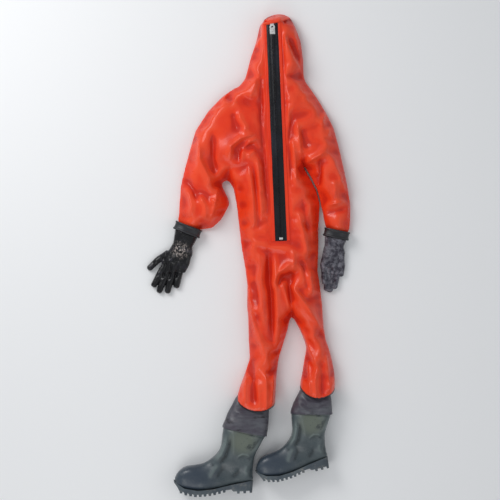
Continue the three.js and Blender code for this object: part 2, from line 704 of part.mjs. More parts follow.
const suit = new THREE.Group();
suit.add(...makeTrunk(), zipGroup, slider);
for (const [side, arm, leg, material] of [
  ["right", rightArm, RIGHT_LEG, gloveBlack],
  ["left", leftArm, LEFT_LEG, gloveGrey],
]) {
  const { thigh, shin } = makeLeg(side, leg, PIVOTS[`${side}_knee`], PIVOTS[`${side}_ankle`]);
  const { gauntlet, hand } = makeGlove(side, material);
  suit.add(...thigh, ...shin, ...makeSleeve(side, arm.sleeve), ...makeCuff(side), gauntlet, hand);
  suit.add(makeBootleg(side), makeBoot(side));
}
suit.updateMatrixWorld(true);
const bounds = new THREE.Box3().setFromObject(suit, true);
const middle = bounds.getCenter(new THREE.Vector3());
suit.position.set(-middle.x, -middle.y, -bounds.min.z);

const group = new THREE.Group();
group.add(suit);
export default group;
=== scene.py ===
# A gas-tight chemical protective suit laid out on its back, with its gloves and safety boots.
import bmesh
import bpy
import json
import math
import numpy as np
from mathutils import Matrix, Vector, noise


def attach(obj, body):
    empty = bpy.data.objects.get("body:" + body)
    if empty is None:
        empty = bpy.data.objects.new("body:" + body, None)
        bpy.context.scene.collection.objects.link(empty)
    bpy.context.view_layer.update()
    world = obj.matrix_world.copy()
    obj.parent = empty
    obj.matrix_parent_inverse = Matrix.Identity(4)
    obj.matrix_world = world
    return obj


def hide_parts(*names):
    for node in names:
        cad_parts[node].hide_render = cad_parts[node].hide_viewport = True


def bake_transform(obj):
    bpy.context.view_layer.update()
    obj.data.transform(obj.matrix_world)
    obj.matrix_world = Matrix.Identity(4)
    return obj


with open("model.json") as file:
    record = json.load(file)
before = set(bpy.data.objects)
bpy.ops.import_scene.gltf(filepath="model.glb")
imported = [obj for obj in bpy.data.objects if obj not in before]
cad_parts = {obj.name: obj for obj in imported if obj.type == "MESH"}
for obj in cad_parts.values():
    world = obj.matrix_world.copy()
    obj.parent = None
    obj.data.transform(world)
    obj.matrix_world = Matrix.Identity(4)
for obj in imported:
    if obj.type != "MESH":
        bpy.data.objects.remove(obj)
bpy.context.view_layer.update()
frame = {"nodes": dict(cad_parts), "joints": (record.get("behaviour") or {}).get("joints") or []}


# ---------------------------------------------------------------------------------------------
# The studio: a plain pale floor that the suit lies on, one large soft lamp from the upper left
# and two weak ones that fill its shadows. The camera looks straight down on the chest.

CAMERA_HEIGHT = 7.358
VIEW_CENTRE = (0.005, 0.0177)
FLOOR_SINK = 0.0006

camera = bpy.data.objects.new("camera", bpy.data.cameras.new("camera"))
camera.data.lens = 135
camera.data.sensor_width = 36
camera.location = (*VIEW_CENTRE, CAMERA_HEIGHT)
bpy.context.scene.collection.objects.link(camera)
bpy.context.scene.camera = camera

bpy.ops.mesh.primitive_plane_add(size=9, location=(0, 0, -FLOOR_SINK))
floor = bpy.context.object
floor.name = "studio_floor"

floor_paint = bpy.data.materials.new("pale_floor")
floor_paint.use_nodes = True
floor_paint.node_tree.nodes["Principled BSDF"].inputs["Base Color"].default_value = (0.86, 0.865, 0.87, 1)
floor_paint.node_tree.nodes["Principled BSDF"].inputs["Roughness"].default_value = 0.75
floor.data.materials.append(floor_paint)


def soft_lamp(name, location, size, power):
    """A square lamp that faces the middle of the suit."""
    lamp = bpy.data.objects.new(name, bpy.data.lights.new(name, "AREA"))
    lamp.data.size = size
    lamp.data.energy = power
    lamp.location = location
    lamp.rotation_mode = "QUATERNION"
    lamp.rotation_quaternion = (Vector((0, 0, 0)) - Vector(location)).to_track_quat("-Z", "Y")
    bpy.context.scene.collection.objects.link(lamp)


soft_lamp("key_lamp", (-1.7, 1.6, 2.1), 1.5, 44)
soft_lamp("fill_lamp", (2.4, -0.6, 2.6), 2.2, 9)
soft_lamp("foot_lamp", (-0.9, -2.2, 2.2), 1.6, 16)

sky = bpy.data.worlds.new("studio_sky")
sky.use_nodes = True
sky.node_tree.nodes["Background"].inputs["Color"].default_value = (0.93, 0.96, 1.0, 1)
sky.node_tree.nodes["Background"].inputs["Strength"].default_value = 0.46
bpy.context.scene.world = sky
bpy.context.scene.view_settings.view_transform = "Standard"


# ---------------------------------------------------------------------------------------------
# Suit shell: glossy orange-red coated fabric, cut in front and back panels and welded edge to
# edge. It lies puffed a little by the air left inside, and its creases run from the zip, the
# armpits and the crotch. The trunk is one piece, and each sleeve and shin is cut off as its own
# piece where it joins.

MM = 0.001
CLOTH_GRID = 5.2 * MM
SLOT_WIDTH = 12.5 * MM  # between the left sleeve and the trunk, below the armpit
SHELL_NODES = [n for n in frame["nodes"] if n.startswith(("hood_", "torso_")) or n.endswith(
    ("_thigh_front", "_thigh_back", "_shin_front", "_shin_back", "_sleeve_front", "_sleeve_back",
     "_leg_hem_band"))]
ROUND_END = {"right": 104 * MM, "left": 84 * MM}  # the leg's end is round about the ankle's pivot
SLEEVE_SLOT = [(212, 350), (243, 298), (266, 252), (279, 205), (283, 165), (290, 128), (303, 70)]

joints = {j["name"]: j for j in frame["joints"]}
zip_up = -Vector(joints["zip_slide"]["axis"]).normalized()
zip_across = Vector((zip_up.y, -zip_up.x, 0))
slider_at = Vector(joints["zip_pull_hinge"]["pos_m"])
SLIDER_RISE = 816 * MM  # of the closed slider above the zip's foot
zip_foot = Vector((slider_at.x, slider_at.y, 0)) - zip_up * SLIDER_RISE
ZIP_LENGTH = 849 * MM
ZIP_BED = 77.6 * MM
ZIP_BED_HALF = 35 * MM


def new_mesh(name, verts, faces):
    mesh = bpy.data.meshes.new(name)
    mesh.from_pydata(np.asarray(verts).tolist(), [], np.asarray(faces).tolist() if len(faces) else [])
    mesh.update()
    made = bpy.data.objects.new(name, mesh)
    bpy.context.scene.collection.objects.link(made)
    return made


def only(obj):
    bpy.ops.object.select_all(action="DESELECT")
    obj.select_set(True)
    bpy.context.view_layer.objects.active = obj


def applied(obj, kind, **settings):
    """Adds one modifier and applies it to the mesh."""
    only(obj)
    modifier = obj.modifiers.new(kind.lower(), kind)
    for key, value in settings.items():
        setattr(modifier, key, value)
    bpy.ops.object.modifier_apply(modifier=modifier.name)
    return obj


def points_of(obj):
    co = np.empty(len(obj.data.vertices) * 3, np.float32)
    obj.data.vertices.foreach_get("co", co)
    return co.reshape(-1, 3).astype(float)


def set_points(obj, co):
    obj.data.vertices.foreach_set("co", np.ascontiguousarray(co, np.float32).ravel())
    obj.data.update()


def normals_of(obj):
    out = np.empty(len(obj.data.vertices) * 3, np.float32)
    obj.data.vertices.foreach_get("normal", out)
    return out.reshape(-1, 3).astype(float)


def ease(value, low, high):
    t = np.clip((value - low) / (high - low), 0, 1)
    return t * t * (3 - 2 * t)


def joined_copy(name, nodes):
    """One object made of copies of CAD nodes."""
    bodies = bmesh.new()
    for node in nodes:
        bodies.from_mesh(frame["nodes"][node].data)
    bmesh.ops.remove_doubles(bodies, verts=bodies.verts, dist=1e-6)
    mesh = bpy.data.meshes.new(name)
    bodies.to_mesh(mesh)
    bodies.free()
    made = bpy.data.objects.new(name, mesh)
    bpy.context.scene.collection.objects.link(made)
    return made


def facing_out(obj):
    tidy = bmesh.new()
    tidy.from_mesh(obj.data)
    bmesh.ops.recalc_face_normals(tidy, faces=tidy.faces)
    tidy.to_mesh(obj.data)
    tidy.free()
    return obj


def wall_along(name, route, width, low, high):
    """An upright wall along a route in plan, to cut a slot with."""
    line = [Vector((x * MM, y * MM)) for x, y in route]
    verts = []
    for i, p in enumerate(line):
        way = (line[min(i + 1, len(line) - 1)] - line[max(i - 1, 0)]).normalized()
        side = Vector((way.y, -way.x)) * width / 2
        verts += [(*(p - side), low), (*(p + side), low), (*(p + side), high), (*(p - side), high)]
    faces = [(0, 1, 2, 3), tuple(len(verts) - k for k in (1, 2, 3, 4))]
    for i in range(0, len(verts) - 4, 4):
        faces += [(i + k, i + 4 + k, i + 4 + (k + 1) % 4, i + (k + 1) % 4) for k in range(4)]
    return facing_out(new_mesh(name, verts, faces))


shell = joined_copy("suit_shell", SHELL_NODES)
applied(shell, "REMESH", mode="VOXEL", voxel_size=4.4 * MM)
slot_cutter = wall_along("slot_cutter", SLEEVE_SLOT, SLOT_WIDTH, -0.05, 0.2)
bpy.context.view_layer.update()
applied(shell, "BOOLEAN", operation="DIFFERENCE", object=slot_cutter, solver="EXACT")
bpy.data.objects.remove(slot_cutter)
applied(shell, "REMESH", mode="VOXEL", voxel_size=CLOTH_GRID, use_smooth_shade=True)
applied(shell, "SMOOTH", factor=0.5, iterations=14)


def route_distance(xy, route):
    """Distance from a route in plan, the side it lies on and how far along the route it is."""
    line = np.array(route, float) * MM
    steps = np.hypot(*(line[1:] - line[:-1]).T)
    start = np.concatenate([[0], np.cumsum(steps)])
    best = np.full(len(xy), 1e9)
    side = np.zeros(len(xy))
    along = np.zeros(len(xy))
    for i, (a, b) in enumerate(zip(line[:-1], line[1:])):
        way = (b - a) / steps[i]
        t = np.clip((xy - a) @ way, 0, steps[i])
        off = xy - a - t[:, None] * way
        d = np.hypot(*off.T)
        near = d < best
        best = np.where(near, d, best)
        side = np.where(near, np.sign(way[0] * off[:, 1] - way[1] * off[:, 0]), side)
        along = np.where(near, (start[i] + t) / start[-1], along)
    return best, side, along


def crease(xy, route, rise, left, right, open_start=False, open_end=False, crest_share=0.22):
    """A crease along a route: its height at each point, fading at the ends that aren't open.
    `left` and `right` are how wide it is on each side of the way that the route runs."""
    d, side, along = route_distance(xy, route)
    wide = np.where(side > 0, left, right) * MM
    fade = np.ones(len(xy))
    if not open_start:
        fade *= ease(along, -0.02, 0.3)
    if not open_end:
        fade *= ease(1 - along, -0.02, 0.3)
    crest = crest_share * wide
    return rise * MM * fade * np.exp(-((np.hypot(d, crest) - crest) / wide) ** 1.15)


# Creases, in millimetres in plan: route, rise, width on the left, width on the right
CREASES = [
    # hood: flap edges beside the zip, the drop behind them, and the neck
    ([(86, 880), (64, 862), (38, 832), (20, 800)], 9, 26, 9),
    ([(70, 842), (66, 800), (60, 750)], 5, 14, 14),
    ([(118, 882), (138, 844), (160, 794), (186, 745), (214, 694)], 13, 8, 40),
    ([(150, 860), (176, 800), (198, 740)], -10, 16, 14),
    ([(168, 914), (186, 832), (200, 758), (206, 715)], 7, 13, 16),
    ([(140, 698), (175, 690), (210, 688)], -6, 12, 14),
    ([(12, 760), (30, 715), (52, 680)], 5, 22, 14),
    # right side of the chest
    ([(-2, 690), (-62, 645), (-128, 590), (-180, 530)], 8, 30, 26),
    ([(-94, 616), (-52, 594)], -6, 16, 14),
    ([(-72, 360), (-68, 420), (-30, 450), (34, 470)], 13, 22, 10),
    ([(-44, 352), (-36, 400), (4, 424), (40, 440)], -7, 12, 12),
    ([(-30, 350), (-22, 408), (4, 438), (42, 452)], 9, 9, 16),
    ([(-10, 376), (16, 398), (34, 402)], 6, 8, 14),
    ([(35, 400), (34, 370), (44, 252), (52, 120)], 8, 12, 14),
    ([(-2, 380), (2, 320), (16, 217), (22, 90)], 9, 15, 12),
    ([(18, 372), (24, 300), (36, 190), (40, 90)], -8, 10, 10),
    ([(50, 780), (50, 525), (60, 369), (73, 213), (81, 57)], -9, 9, 14),
    ([(0, 600), (20, 642), (30, 690)], 8, 24, 18),
    ([(-36, 560), (-34, 530), (-12, 494), (-22, 460)], 8, 15, 15),
    ([(-64, 560), (-52, 505), (-40, 470)], -6, 16, 16),
    ([(-62, 330), (-46, 230), (-36, 120), (-26, 20)], 6, 16, 14),
    # right sleeve
    ([(-192, 500), (-196, 455), (-190, 370), (-152, 294), (-140, 230)], 12, 14, 34),
    ([(-140, 490), (-139, 420), (-138, 370), (-126, 290)], -11, 18, 13),
    ([(-204, 465), (-232, 430)], -7, 14, 12),
    ([(-266, 275), (-233, 234), (-222, 185), (-226, 140)], 9, 13, 16),
    ([(-246, 300), (-214, 250), (-200, 200)], -6, 14, 12),
    ([(-197, 244), (-170, 190), (-164, 126)], 9, 11, 14),
    ([(-116, 282), (-128, 213), (-152, 112)], 7, 14, 12),
    ([(-150, 222), (-132, 206), (-118, 212)], 5, 6, 8),
    ([(-146, 196), (-130, 188), (-112, 196)], -4, 6, 6),
    ([(-250, 380), (-262, 330), (-268, 290)], 6, 16, 12),
    # left side of the chest and the left sleeve
    ([(160, 640), (155, 570), (152, 520), (134, 458), (138, 372), (148, 252), (164, 76)], 8, 12, 16),
    ([(176, 600), (168, 520), (158, 440), (160, 330), (172, 200)], -6, 14, 14),
    ([(182, 540), (190, 500), (207, 360)], 9, 12, 16),
    ([(200, 500), (222, 440), (232, 400)], -7, 18, 18),
    ([(212, 352), (246, 368), (290, 394), (314, 392)], 11, 16, 10),
    ([(308, 402), (330, 360), (352, 310), (372, 260), (384, 217)], 10, 26, 14),
    ([(276, 385), (281, 314), (274, 259)], -9, 9, 13),
    ([(300, 560), (290, 525), (280, 500)], 7, 14, 14),
    ([(316, 500), (312, 474), (300, 450)], 6, 13, 11),
    ([(290, 190), (337, 198), (384, 212)], 9, 13, 10),
    ([(300, 160), (340, 166), (380, 180)], -5, 12, 12),
    ([(330, 300), (336, 250), (330, 210)], 6, 16, 14),
    ([(166, 468), (184, 340), (184, 248)], 8, 12, 13),
    ([(188, 190), (204, 120), (216, 61), (236, -30)], 8, 13, 14),
    ([(206, 240), (222, 150), (234, 60)], -6, 13, 13),
    ([(236, 230), (246, 140), (250, 40)], 5, 14, 12),
    # hips, groin and legs
    ([(74, 60), (80, -60), (87, -157), (93, -331), (101, -400)], -15, 10, 15),
    ([(104, 20), (104, -80), (108, -170), (112, -290)], 7, 10, 12),
    ([(-12, -40), (-2, -130), (16, -254), (54, -357), (80, -450)], 12, 13, 20),
    ([(40, 30), (46, -90), (52, -200), (66, -300)], 8, 16, 12),
    ([(22, -10), (26, -120), (36, -220)], -6, 13, 13),
    ([(90, -150), (96, -108), (114, -72), (158, -36), (188, -28)], 11, 10, 22),
    ([(110, -130), (124, -100), (150, -74)], -8, 14, 12),
    ([(121, -86), (145, -157), (166, -236)], 9, 14, 10),
    ([(145, -92), (180, -142), (216, -189), (262, -256), (302, -322)], 14, 22, 11),
    ([(180, -120), (214, -160), (250, -205)], -8, 18, 14),
    ([(188, -250), (222, -330), (250, -400), (276, -470)], 10, 14, 10),
    ([(240, -50), (244, -110), (249, -172)], 8, 13, 13),
    ([(208, -4), (222, -90), (236, -158)], -9, 12, 12),
    ([(170, 30), (176, -20), (172, -80)], 6, 16, 14),
    ([(-6, -440), (-12, -480), (-14, -566)], 8, 12, 16, False, True),
    ([(64, -440), (68, -510), (68, -596)], 10, 14, 13, False, True),
    ([(10, -400), (18, -470), (20, -562)], -9, 13, 14, False, True),
    ([(36, -480), (40, -540), (42, -590)], 5, 10, 10, False, True),
    ([(98, -440), (94, -520), (90, -580)], 6, 12, 10, False, True),
    ([(232, -405), (234, -460), (238, -535)], 9, 10, 12, False, True),
    ([(264, -430), (256, -500), (262, -556)], 9, 12, 14, False, True),
    ([(298, -366), (308, -440), (314, -520)], 8, 13, 12, False, True),
    ([(282, -400), (286, -470), (288, -540)], -7, 12, 12, False, True),
]


def wrinkled(co, normals, sharp):
    """The height that creases add to the upper side of the shell, and where the zip's bed is."""
    xy = co[:, :2]
    lift = np.zeros(len(co))
    for route, rise, left, right, *ends in CREASES:
        if sharp:
            lift += crease(xy, route, 0.5 * rise, 0.5 * left, 0.5 * right, *ends, crest_share=0.08)
        else:
            lift += crease(xy, route, rise, left, right, *ends)
    upper = ease(normals[:, 2], 0.05, 0.55)
    from_zip = np.abs((xy - np.array(zip_foot[:2])) @ np.array(zip_across[:2]))
    up_zip = (xy - np.array(zip_foot[:2])) @ np.array(zip_up[:2])
    bed = ease(-from_zip, -ZIP_BED_HALF - 14 * MM, -ZIP_BED_HALF)
    bed *= ease(up_zip, -24 * MM, 0) * ease(-up_zip, -ZIP_LENGTH - 6 * MM, -ZIP_LENGTH)
    return lift * upper * (1 - bed), bed * upper


def uneven(co, size, depth, seed):
    return np.array([noise.noise(Vector(p) / size + Vector((seed, 0, 0))) for p in co]) * depth


def sagged(obj):
    """Lowers the shell towards its outline, so that it lies like an almost empty bag."""
    co = points_of(obj)
    cell = 4 * MM
    low = co[:, :2].min(0) - 12 * cell
    size = np.ceil((co[:, :2].max(0) - low) / cell).astype(int) + 12
    filled = np.zeros(size, bool)
    spots = ((co[:, :2] - low) / cell).astype(int)
    for dx in (0, 1):
        for dy in (0, 1):
            filled[spots[:, 0] + dx, spots[:, 1] + dy] = True
    depth = np.zeros(size)
    inside = filled.copy()
    for _ in range(22):
        depth += inside
        around = inside[1:-1, 1:-1] & inside[:-2, 1:-1] & inside[2:, 1:-1]
        around &= inside[1:-1, :-2] & inside[1:-1, 2:]
        inside = np.zeros(size, bool)
        inside[1:-1, 1:-1] = around
    for _ in range(6):
        depth[1:-1, 1:-1] = (depth[1:-1, 1:-1] * 2 + depth[:-2, 1:-1] + depth[2:, 1:-1]
                             + depth[1:-1, :-2] + depth[1:-1, 2:]) / 6
    at = (co[:, :2] - low) / cell
    base = at.astype(int)
    part = at - base
    reach = sum(
        depth[base[:, 0] + dx, base[:, 1] + dy]
        * (part[:, 0] if dx else 1 - part[:, 0]) * (part[:, 1] if dy else 1 - part[:, 1])
        for dx in (0, 1) for dy in (0, 1)) * cell
    share = 0.5 + 0.5 * ease(reach, 4 * MM, 62 * MM) ** 0.8
    for side, radius in ROUND_END.items():
        pivot = np.array(joints[f"{side}_ankle"]["pos_m"][:2])
        from_end = np.hypot(*(co[:, :2] - pivot).T) - radius
        full = ease(from_end, -64 * MM, -16 * MM) * ease(pivot[1] - co[:, 1], -20 * MM, 20 * MM)
        share += (1 - share) * full
    top = ease(co[:, 2], 12 * MM, 40 * MM)
    co[:, 2] *= 1 - (1 - share) * top
    return co


co = sagged(shell)
set_points(shell, co)
normals = normals_of(shell)
lift, bed = wrinkled(co, normals, sharp=False)
soft_lift = uneven(co, 0.12, 5 * MM, 3)
co[:, 2] += 1.0 * lift + soft_lift * ease(normals[:, 2], 0.1, 0.6) * (1 - bed)
co[:, 2] += bed * (ZIP_BED - co[:, 2])
co[:, 2] = np.maximum(co[:, 2], 0.4 * MM)
set_points(shell, co)


def buckled(obj, held, growth, pressure, most):
    """Lets the coated fabric buckle: it grows a little between the places where it is held, and
    no point may move further than `most`."""
    before = points_of(obj)
    group = obj.vertex_groups.new(name="held")
    for i in np.nonzero(held > 0.02)[0]:
        group.add([int(i)], float(held[i]), "REPLACE")
    only(obj)
    cloth = obj.modifiers.new("cloth", "CLOTH")
    cloth.settings.quality = 4
    cloth.settings.mass = 0.5
    cloth.settings.tension_stiffness = 30
    cloth.settings.compression_stiffness = 30
    cloth.settings.shear_stiffness = 12
    cloth.settings.bending_stiffness = 60
    cloth.settings.shrink_min = -growth
    cloth.settings.use_pressure = True
    cloth.settings.uniform_pressure_force = pressure
    cloth.settings.vertex_group_mass = "held"
    cloth.settings.effector_weights.gravity = 0
    cloth.collision_settings.use_collision = False
    scene = bpy.context.scene
    for step in range(1, 19):
        scene.frame_set(step)
    bpy.ops.object.modifier_apply(modifier=cloth.name)
    scene.frame_set(1)
    obj.vertex_groups.clear()
    moved = points_of(obj) - before
    length = np.linalg.norm(moved, axis=1)
    moved *= np.minimum(1, most / np.maximum(length, 1e-9))[:, None]
    set_points(obj, before + moved)


co = points_of(shell)
low_side = ease(-co[:, 2], -14 * MM, -4 * MM)
outline = 1 - ease(normals_of(shell)[:, 2], 0.3, 0.75)
held = np.maximum(np.maximum(low_side, bed), outline)
buckled(shell, held, 0.022, 0.6, 6 * MM)
applied(shell, "SMOOTH", factor=0.5, iterations=5)

applied(shell, "SUBSURF", levels=1)
co = points_of(shell)
normals = normals_of(shell)
lift, bed = wrinkled(co, normals, sharp=False)
edge_lift, bed = wrinkled(co, normals, sharp=True)
d, side, along = route_distance(co[:, :2], SLEEVE_SLOT)
drawn = ease(-d, -26 * MM, -5 * MM) * ease(co[:, 1], 165 * MM, 195 * MM)
co[:, 0] -= side * 3.6 * MM * drawn
co[:, 2] += 0.25 * lift + 0.9 * edge_lift


# The forehead flap overlaps the zip's top with a folded edge.
BROW_EDGE = [(30, 902), (62, 891), (92, 896), (124, 904), (146, 913), (172, 926)]
FLAP_RISE = 88.5 * MM
d, side, along = route_distance(co[:, :2], BROW_EDGE)
past = d * side
upper = ease(normals[:, 2], 0.1, 0.5)
over = np.maximum(past, 0)
from_zip = np.abs((co[:, :2] - np.array(zip_foot[:2])) @ np.array(zip_across[:2]))
tucked = ease(-past, -1 * MM, 2 * MM) * np.exp(-np.maximum(-past, 0) / (16 * MM))
co[:, 2] += upper * -9 * MM * tucked * (1 - bed)
bed *= 1 - ease(past, -0.5 * MM, 1.5 * MM)
co[:, 2] += bed * (ZIP_BED - co[:, 2])
flap = upper * ease(past, -1 * MM, 2 * MM)
co[:, 2] += flap * 7 * MM * np.exp(-over / (34 * MM))
beside = np.maximum(from_zip - 26 * MM, 0) / (16 * MM)
over_zip = flap * np.exp(-(beside**2)) * np.exp(-((over / (24 * MM)) ** 2))
co[:, 2] += over_zip * np.maximum(FLAP_RISE - co[:, 2], 0)
co[:, 2] = np.maximum(co[:, 2], 0.4 * MM)
set_points(shell, co)
normals = normals_of(shell)

faces = np.empty(len(shell.data.loops), np.int32)
shell.data.loops.foreach_get("vertex_index", faces)
faces = faces.reshape(-1, 4)
edges = np.empty(len(shell.data.edges) * 2, np.int32)
shell.data.edges.foreach_get("vertices", edges)
edges = edges.reshape(-1, 2)


# How far each point stands above or below the cloth round it, kept for the fabric's colour as painted
# shade in the hollows and a painted highlight on the crests.
NEAR_STEPS = 8
FAR_STEPS = 110
FOLD_DEPTH = 4 * MM
levelled = co[:, 2].copy()
share_of = np.bincount(edges.ravel(), minlength=len(co))
for step in range(FAR_STEPS):
    if step == NEAR_STEPS:
        nearby = levelled.copy()
    total = np.bincount(edges[:, 0], levelled[edges[:, 1]], len(co))
    total += np.bincount(edges[:, 1], levelled[edges[:, 0]], len(co))
    levelled = total / np.maximum(share_of, 1)
inside_outline = ease(levelled, 20 * MM, 44 * MM)
# Under the brow flap's edge the value is pushed lower still: a painted shadow beneath the flap.
painted_shade_and_highlight = 0.5 + 0.5 * (nearby - levelled) / FOLD_DEPTH * inside_outline - 0.5 * tucked
painted_shade_and_highlight = np.clip(painted_shade_and_highlight, 0, 1)


def spread(seed, allowed):
    """The points that can be reached from the seed through allowed points only."""
    reached = np.zeros(len(allowed), bool)
    reached[seed] = True
    while True:
        crossing = reached[edges[:, 0]] != reached[edges[:, 1]]
        found = edges[crossing].ravel()
        found = found[allowed[found] & ~reached[found]]
        if not len(found):
            return reached
        reached[found] = True


# Stores a point attribute that the materials turn into painted shade (low values) and a painted highlight
# (high values).
def shade_folds(obj, values):
    layer = obj.data.attributes.new("painted_shade_and_highlight", "FLOAT", "POINT")
    layer.data.foreach_set("value", np.ascontiguousarray(values, np.float32))


def cut_piece(name, mask):
    """A piece of the shell as its own object, shaded as it was while whole."""
    used = np.unique(faces[mask])
    index = np.full(len(co), -1)
    index[used] = np.arange(len(used))
    piece = new_mesh(name, co[used], index[faces[mask]])
    piece.data.shade_smooth()
    piece.data.normals_split_custom_set_from_vertices(normals[used])
    shade_folds(piece, painted_shade_and_highlight[used])
    return piece


# Each limb: a seed at its end, where it starts, the way it runs, how long its blend is and how
# much longer that gets for each metre sideways. All in millimetres in plan.
LIMBS = {
    "right_sleeve": dict(seed=(-235, 130), start=(-92, 296), way=(-0.93, -0.37), near=95, slope=0.62),
    "left_sleeve": dict(seed=(345, 120), start=(229, 322), way=(0.86, -0.5), near=110, slope=0.6),
    "right_shin": dict(seed=(30, -560), start=(70, -268), way=(0, -1), near=130, slope=0),
    "left_shin": dict(seed=(270, -520), start=(262, -283), way=(0, -1), near=125, slope=0),
}

kind = np.zeros(len(faces), int)
for number, (limb, cut) in enumerate(LIMBS.items(), 1):
    start = np.array(cut["start"]) * MM
    way = np.array(cut["way"]) / np.hypot(*cut["way"])
    allowed = (co[:, :2] - start) @ way > 0
    seed = np.argmin(np.hypot(*(co[:, :2] - np.array(cut["seed"]) * MM).T) + 10 * ~allowed)
    inside = spread(seed, allowed)
    kind[inside[faces].all(1)] = number

# The last millimetres of each leg are bound in a rubber band that stands a little proud.
HEM_WIDTH = 8 * MM
HEM_PROUD = 1.3 * MM
for side, number in (("right", 3), ("left", 4)):
    pivot = np.array(joints[f"{side}_ankle"]["pos_m"][:2])
    from_end = np.hypot(*(co[:, :2] - pivot).T) - (ROUND_END[side] - HEM_WIDTH)
    below = (co[:, :2] - pivot) @ np.array((-0.22, -0.975)) > 0
    band = (from_end > 0) & below
    touched = band[faces].all(1) & (kind == number)
    proud = ease(from_end, -1 * MM, 2.5 * MM) * below * np.isin(np.arange(len(co)), faces[kind == number])
    co += normals * (HEM_PROUD * proud)[:, None]
    kind[touched] = number + 2

shell_pieces = {}
for number, name in enumerate(["suit_trunk", *LIMBS, "right_leg_hem", "left_leg_hem"]):
    shell_pieces[name] = cut_piece(name, kind == number)
bpy.data.objects.remove(shell)
hems = {side: shell_pieces.pop(f"{side}_leg_hem") for side in ("right", "left")}

for limb, cut in LIMBS.items():
    piece = shell_pieces[limb]
    start = Vector((*cut["start"], 0)) * MM
    way = Vector((*cut["way"], 0)).normalized()
    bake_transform(piece)
    local = points_of(piece)
    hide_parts(*[n for n in SHELL_NODES if n.startswith(limb)])
trunk = shell_pieces["suit_trunk"]
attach(trunk, "suit")
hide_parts(*[n for n in SHELL_NODES if n.startswith(("hood", "torso")) or "thigh" in n])


def effect_group(name, inputs, outputs):
    """An empty shader group with named inputs (name, type, value) and outputs (name, type)."""
    group = bpy.data.node_groups.new(name, "ShaderNodeTree")
    for label, form, value in inputs:
        socket = group.interface.new_socket(label, in_out="INPUT", socket_type=form)
        socket.default_value = value
    for label, form in outputs:
        group.interface.new_socket(label, in_out="OUTPUT", socket_type=form)
    return group, group.nodes.new("NodeGroupInput"), group.nodes.new("NodeGroupOutput")


def noise_node(tree, source, scale, detail=4.0, roughness=0.55, stretch=None):
    """Noise laid in object coordinates, as its output socket."""
    texture = tree.nodes.new("ShaderNodeTexNoise")
    texture.inputs["Scale"].default_value = scale
    texture.inputs["Detail"].default_value = detail
    texture.inputs["Roughness"].default_value = roughness
    if stretch:
        mapping = tree.nodes.new("ShaderNodeMapping")
        mapping.inputs["Scale"].default_value = stretch
        tree.links.new(source, mapping.inputs["Vector"])
        source = mapping.outputs["Vector"]
    tree.links.new(source, texture.inputs["Vector"])
    return texture.outputs["Fac"]


def mixed(tree, kind, a, b, factor=None, blend="MIX"):
    """A Mix node: sockets or plain values for A, B and the factor; its result socket."""
    mix = tree.nodes.new("ShaderNodeMix")
    mix.data_type = kind
    if kind == "RGBA":
        mix.blend_type = blend
    slots = {"FLOAT": (0, 2, 3, 0), "RGBA": (0, 6, 7, 2)}[kind]
    for slot, value in zip(slots[:3], (factor, a, b)):
        if isinstance(value, bpy.types.NodeSocket):
            tree.links.new(value, mix.inputs[slot])
        elif value is not None:
            mix.inputs[slot].default_value = value
    return mix.outputs[slots[3]]


def ranged(tree, value, low, high, to_low=0.0, to_high=1.0):
    """A smooth Map Range of a socket."""
    node = tree.nodes.new("ShaderNodeMapRange")
    node.interpolation_type = "SMOOTHSTEP"
    tree.links.new(value, node.inputs["Value"])
    for label, number in (("From Min", low), ("From Max", high), ("To Min", to_low), ("To Max", to_high)):
        node.inputs[label].default_value = number
    return node.outputs["Result"]


# Soiling that gathers in patches: used by the fabric, the rubber and the boots.
soiling, soil_in, soil_out = effect_group(
    "patchy_soiling",
    [("Patch Size", "NodeSocketFloat", 9.0), ("Amount", "NodeSocketFloat", 0.5)],
    [("Mask", "NodeSocketFloat")],
)
place = soiling.nodes.new("ShaderNodeTexCoord")
patches = soiling.nodes.new("ShaderNodeTexNoise")
patches.inputs["Detail"].default_value = 6
patches.inputs["Roughness"].default_value = 0.62
soiling.links.new(place.outputs["Object"], patches.inputs["Vector"])
soiling.links.new(soil_in.outputs["Patch Size"], patches.inputs["Scale"])
edge = ranged(soiling, patches.outputs["Fac"], 0.48, 0.74)
fleck = ranged(soiling, noise_node(soiling, place.outputs["Object"], 120, 3), 0.35, 0.7)
both = soiling.nodes.new("ShaderNodeMath")
both.operation = "MULTIPLY"
soiling.links.new(edge, both.inputs[0])
soiling.links.new(fleck, both.inputs[1])
scaled = soiling.nodes.new("ShaderNodeMath")
scaled.operation = "MULTIPLY"
soiling.links.new(both.outputs[0], scaled.inputs[0])
soiling.links.new(soil_in.outputs["Amount"], scaled.inputs[1])
soiling.links.new(scaled.outputs[0], soil_out.inputs["Mask"])

# Fine grain as a height: used by every moulded or coated surface.
grain, grain_in, grain_out = effect_group(
    "fine_grain",
    [("Scale", "NodeSocketFloat", 400.0), ("Waviness", "NodeSocketFloat", 40.0)],
    [("Height", "NodeSocketFloat")],
)
place = grain.nodes.new("ShaderNodeTexCoord")
pips = grain.nodes.new("ShaderNodeTexNoise")
pips.inputs["Detail"].default_value = 3
waves = grain.nodes.new("ShaderNodeTexNoise")
waves.inputs["Detail"].default_value = 3
for texture, label in ((pips, "Scale"), (waves, "Waviness")):
    grain.links.new(place.outputs["Object"], texture.inputs["Vector"])
    grain.links.new(grain_in.outputs[label], texture.inputs["Scale"])
height = mixed(grain, "FLOAT", pips.outputs["Fac"], waves.outputs["Fac"], 0.7)
grain.links.new(height, grain_out.inputs["Height"])


def finish_named(name):
    """A new material, its tree and its shader."""
    material = bpy.data.materials.new(name)
    material.use_nodes = True
    tree = material.node_tree
    return material, tree, tree.nodes["Principled BSDF"]


def placed(tree, group, **values):
    node = tree.nodes.new("ShaderNodeGroup")
    node.node_tree = group
    for label, value in values.items():
        node.inputs[label.replace("_", " ")].default_value = value
    return node


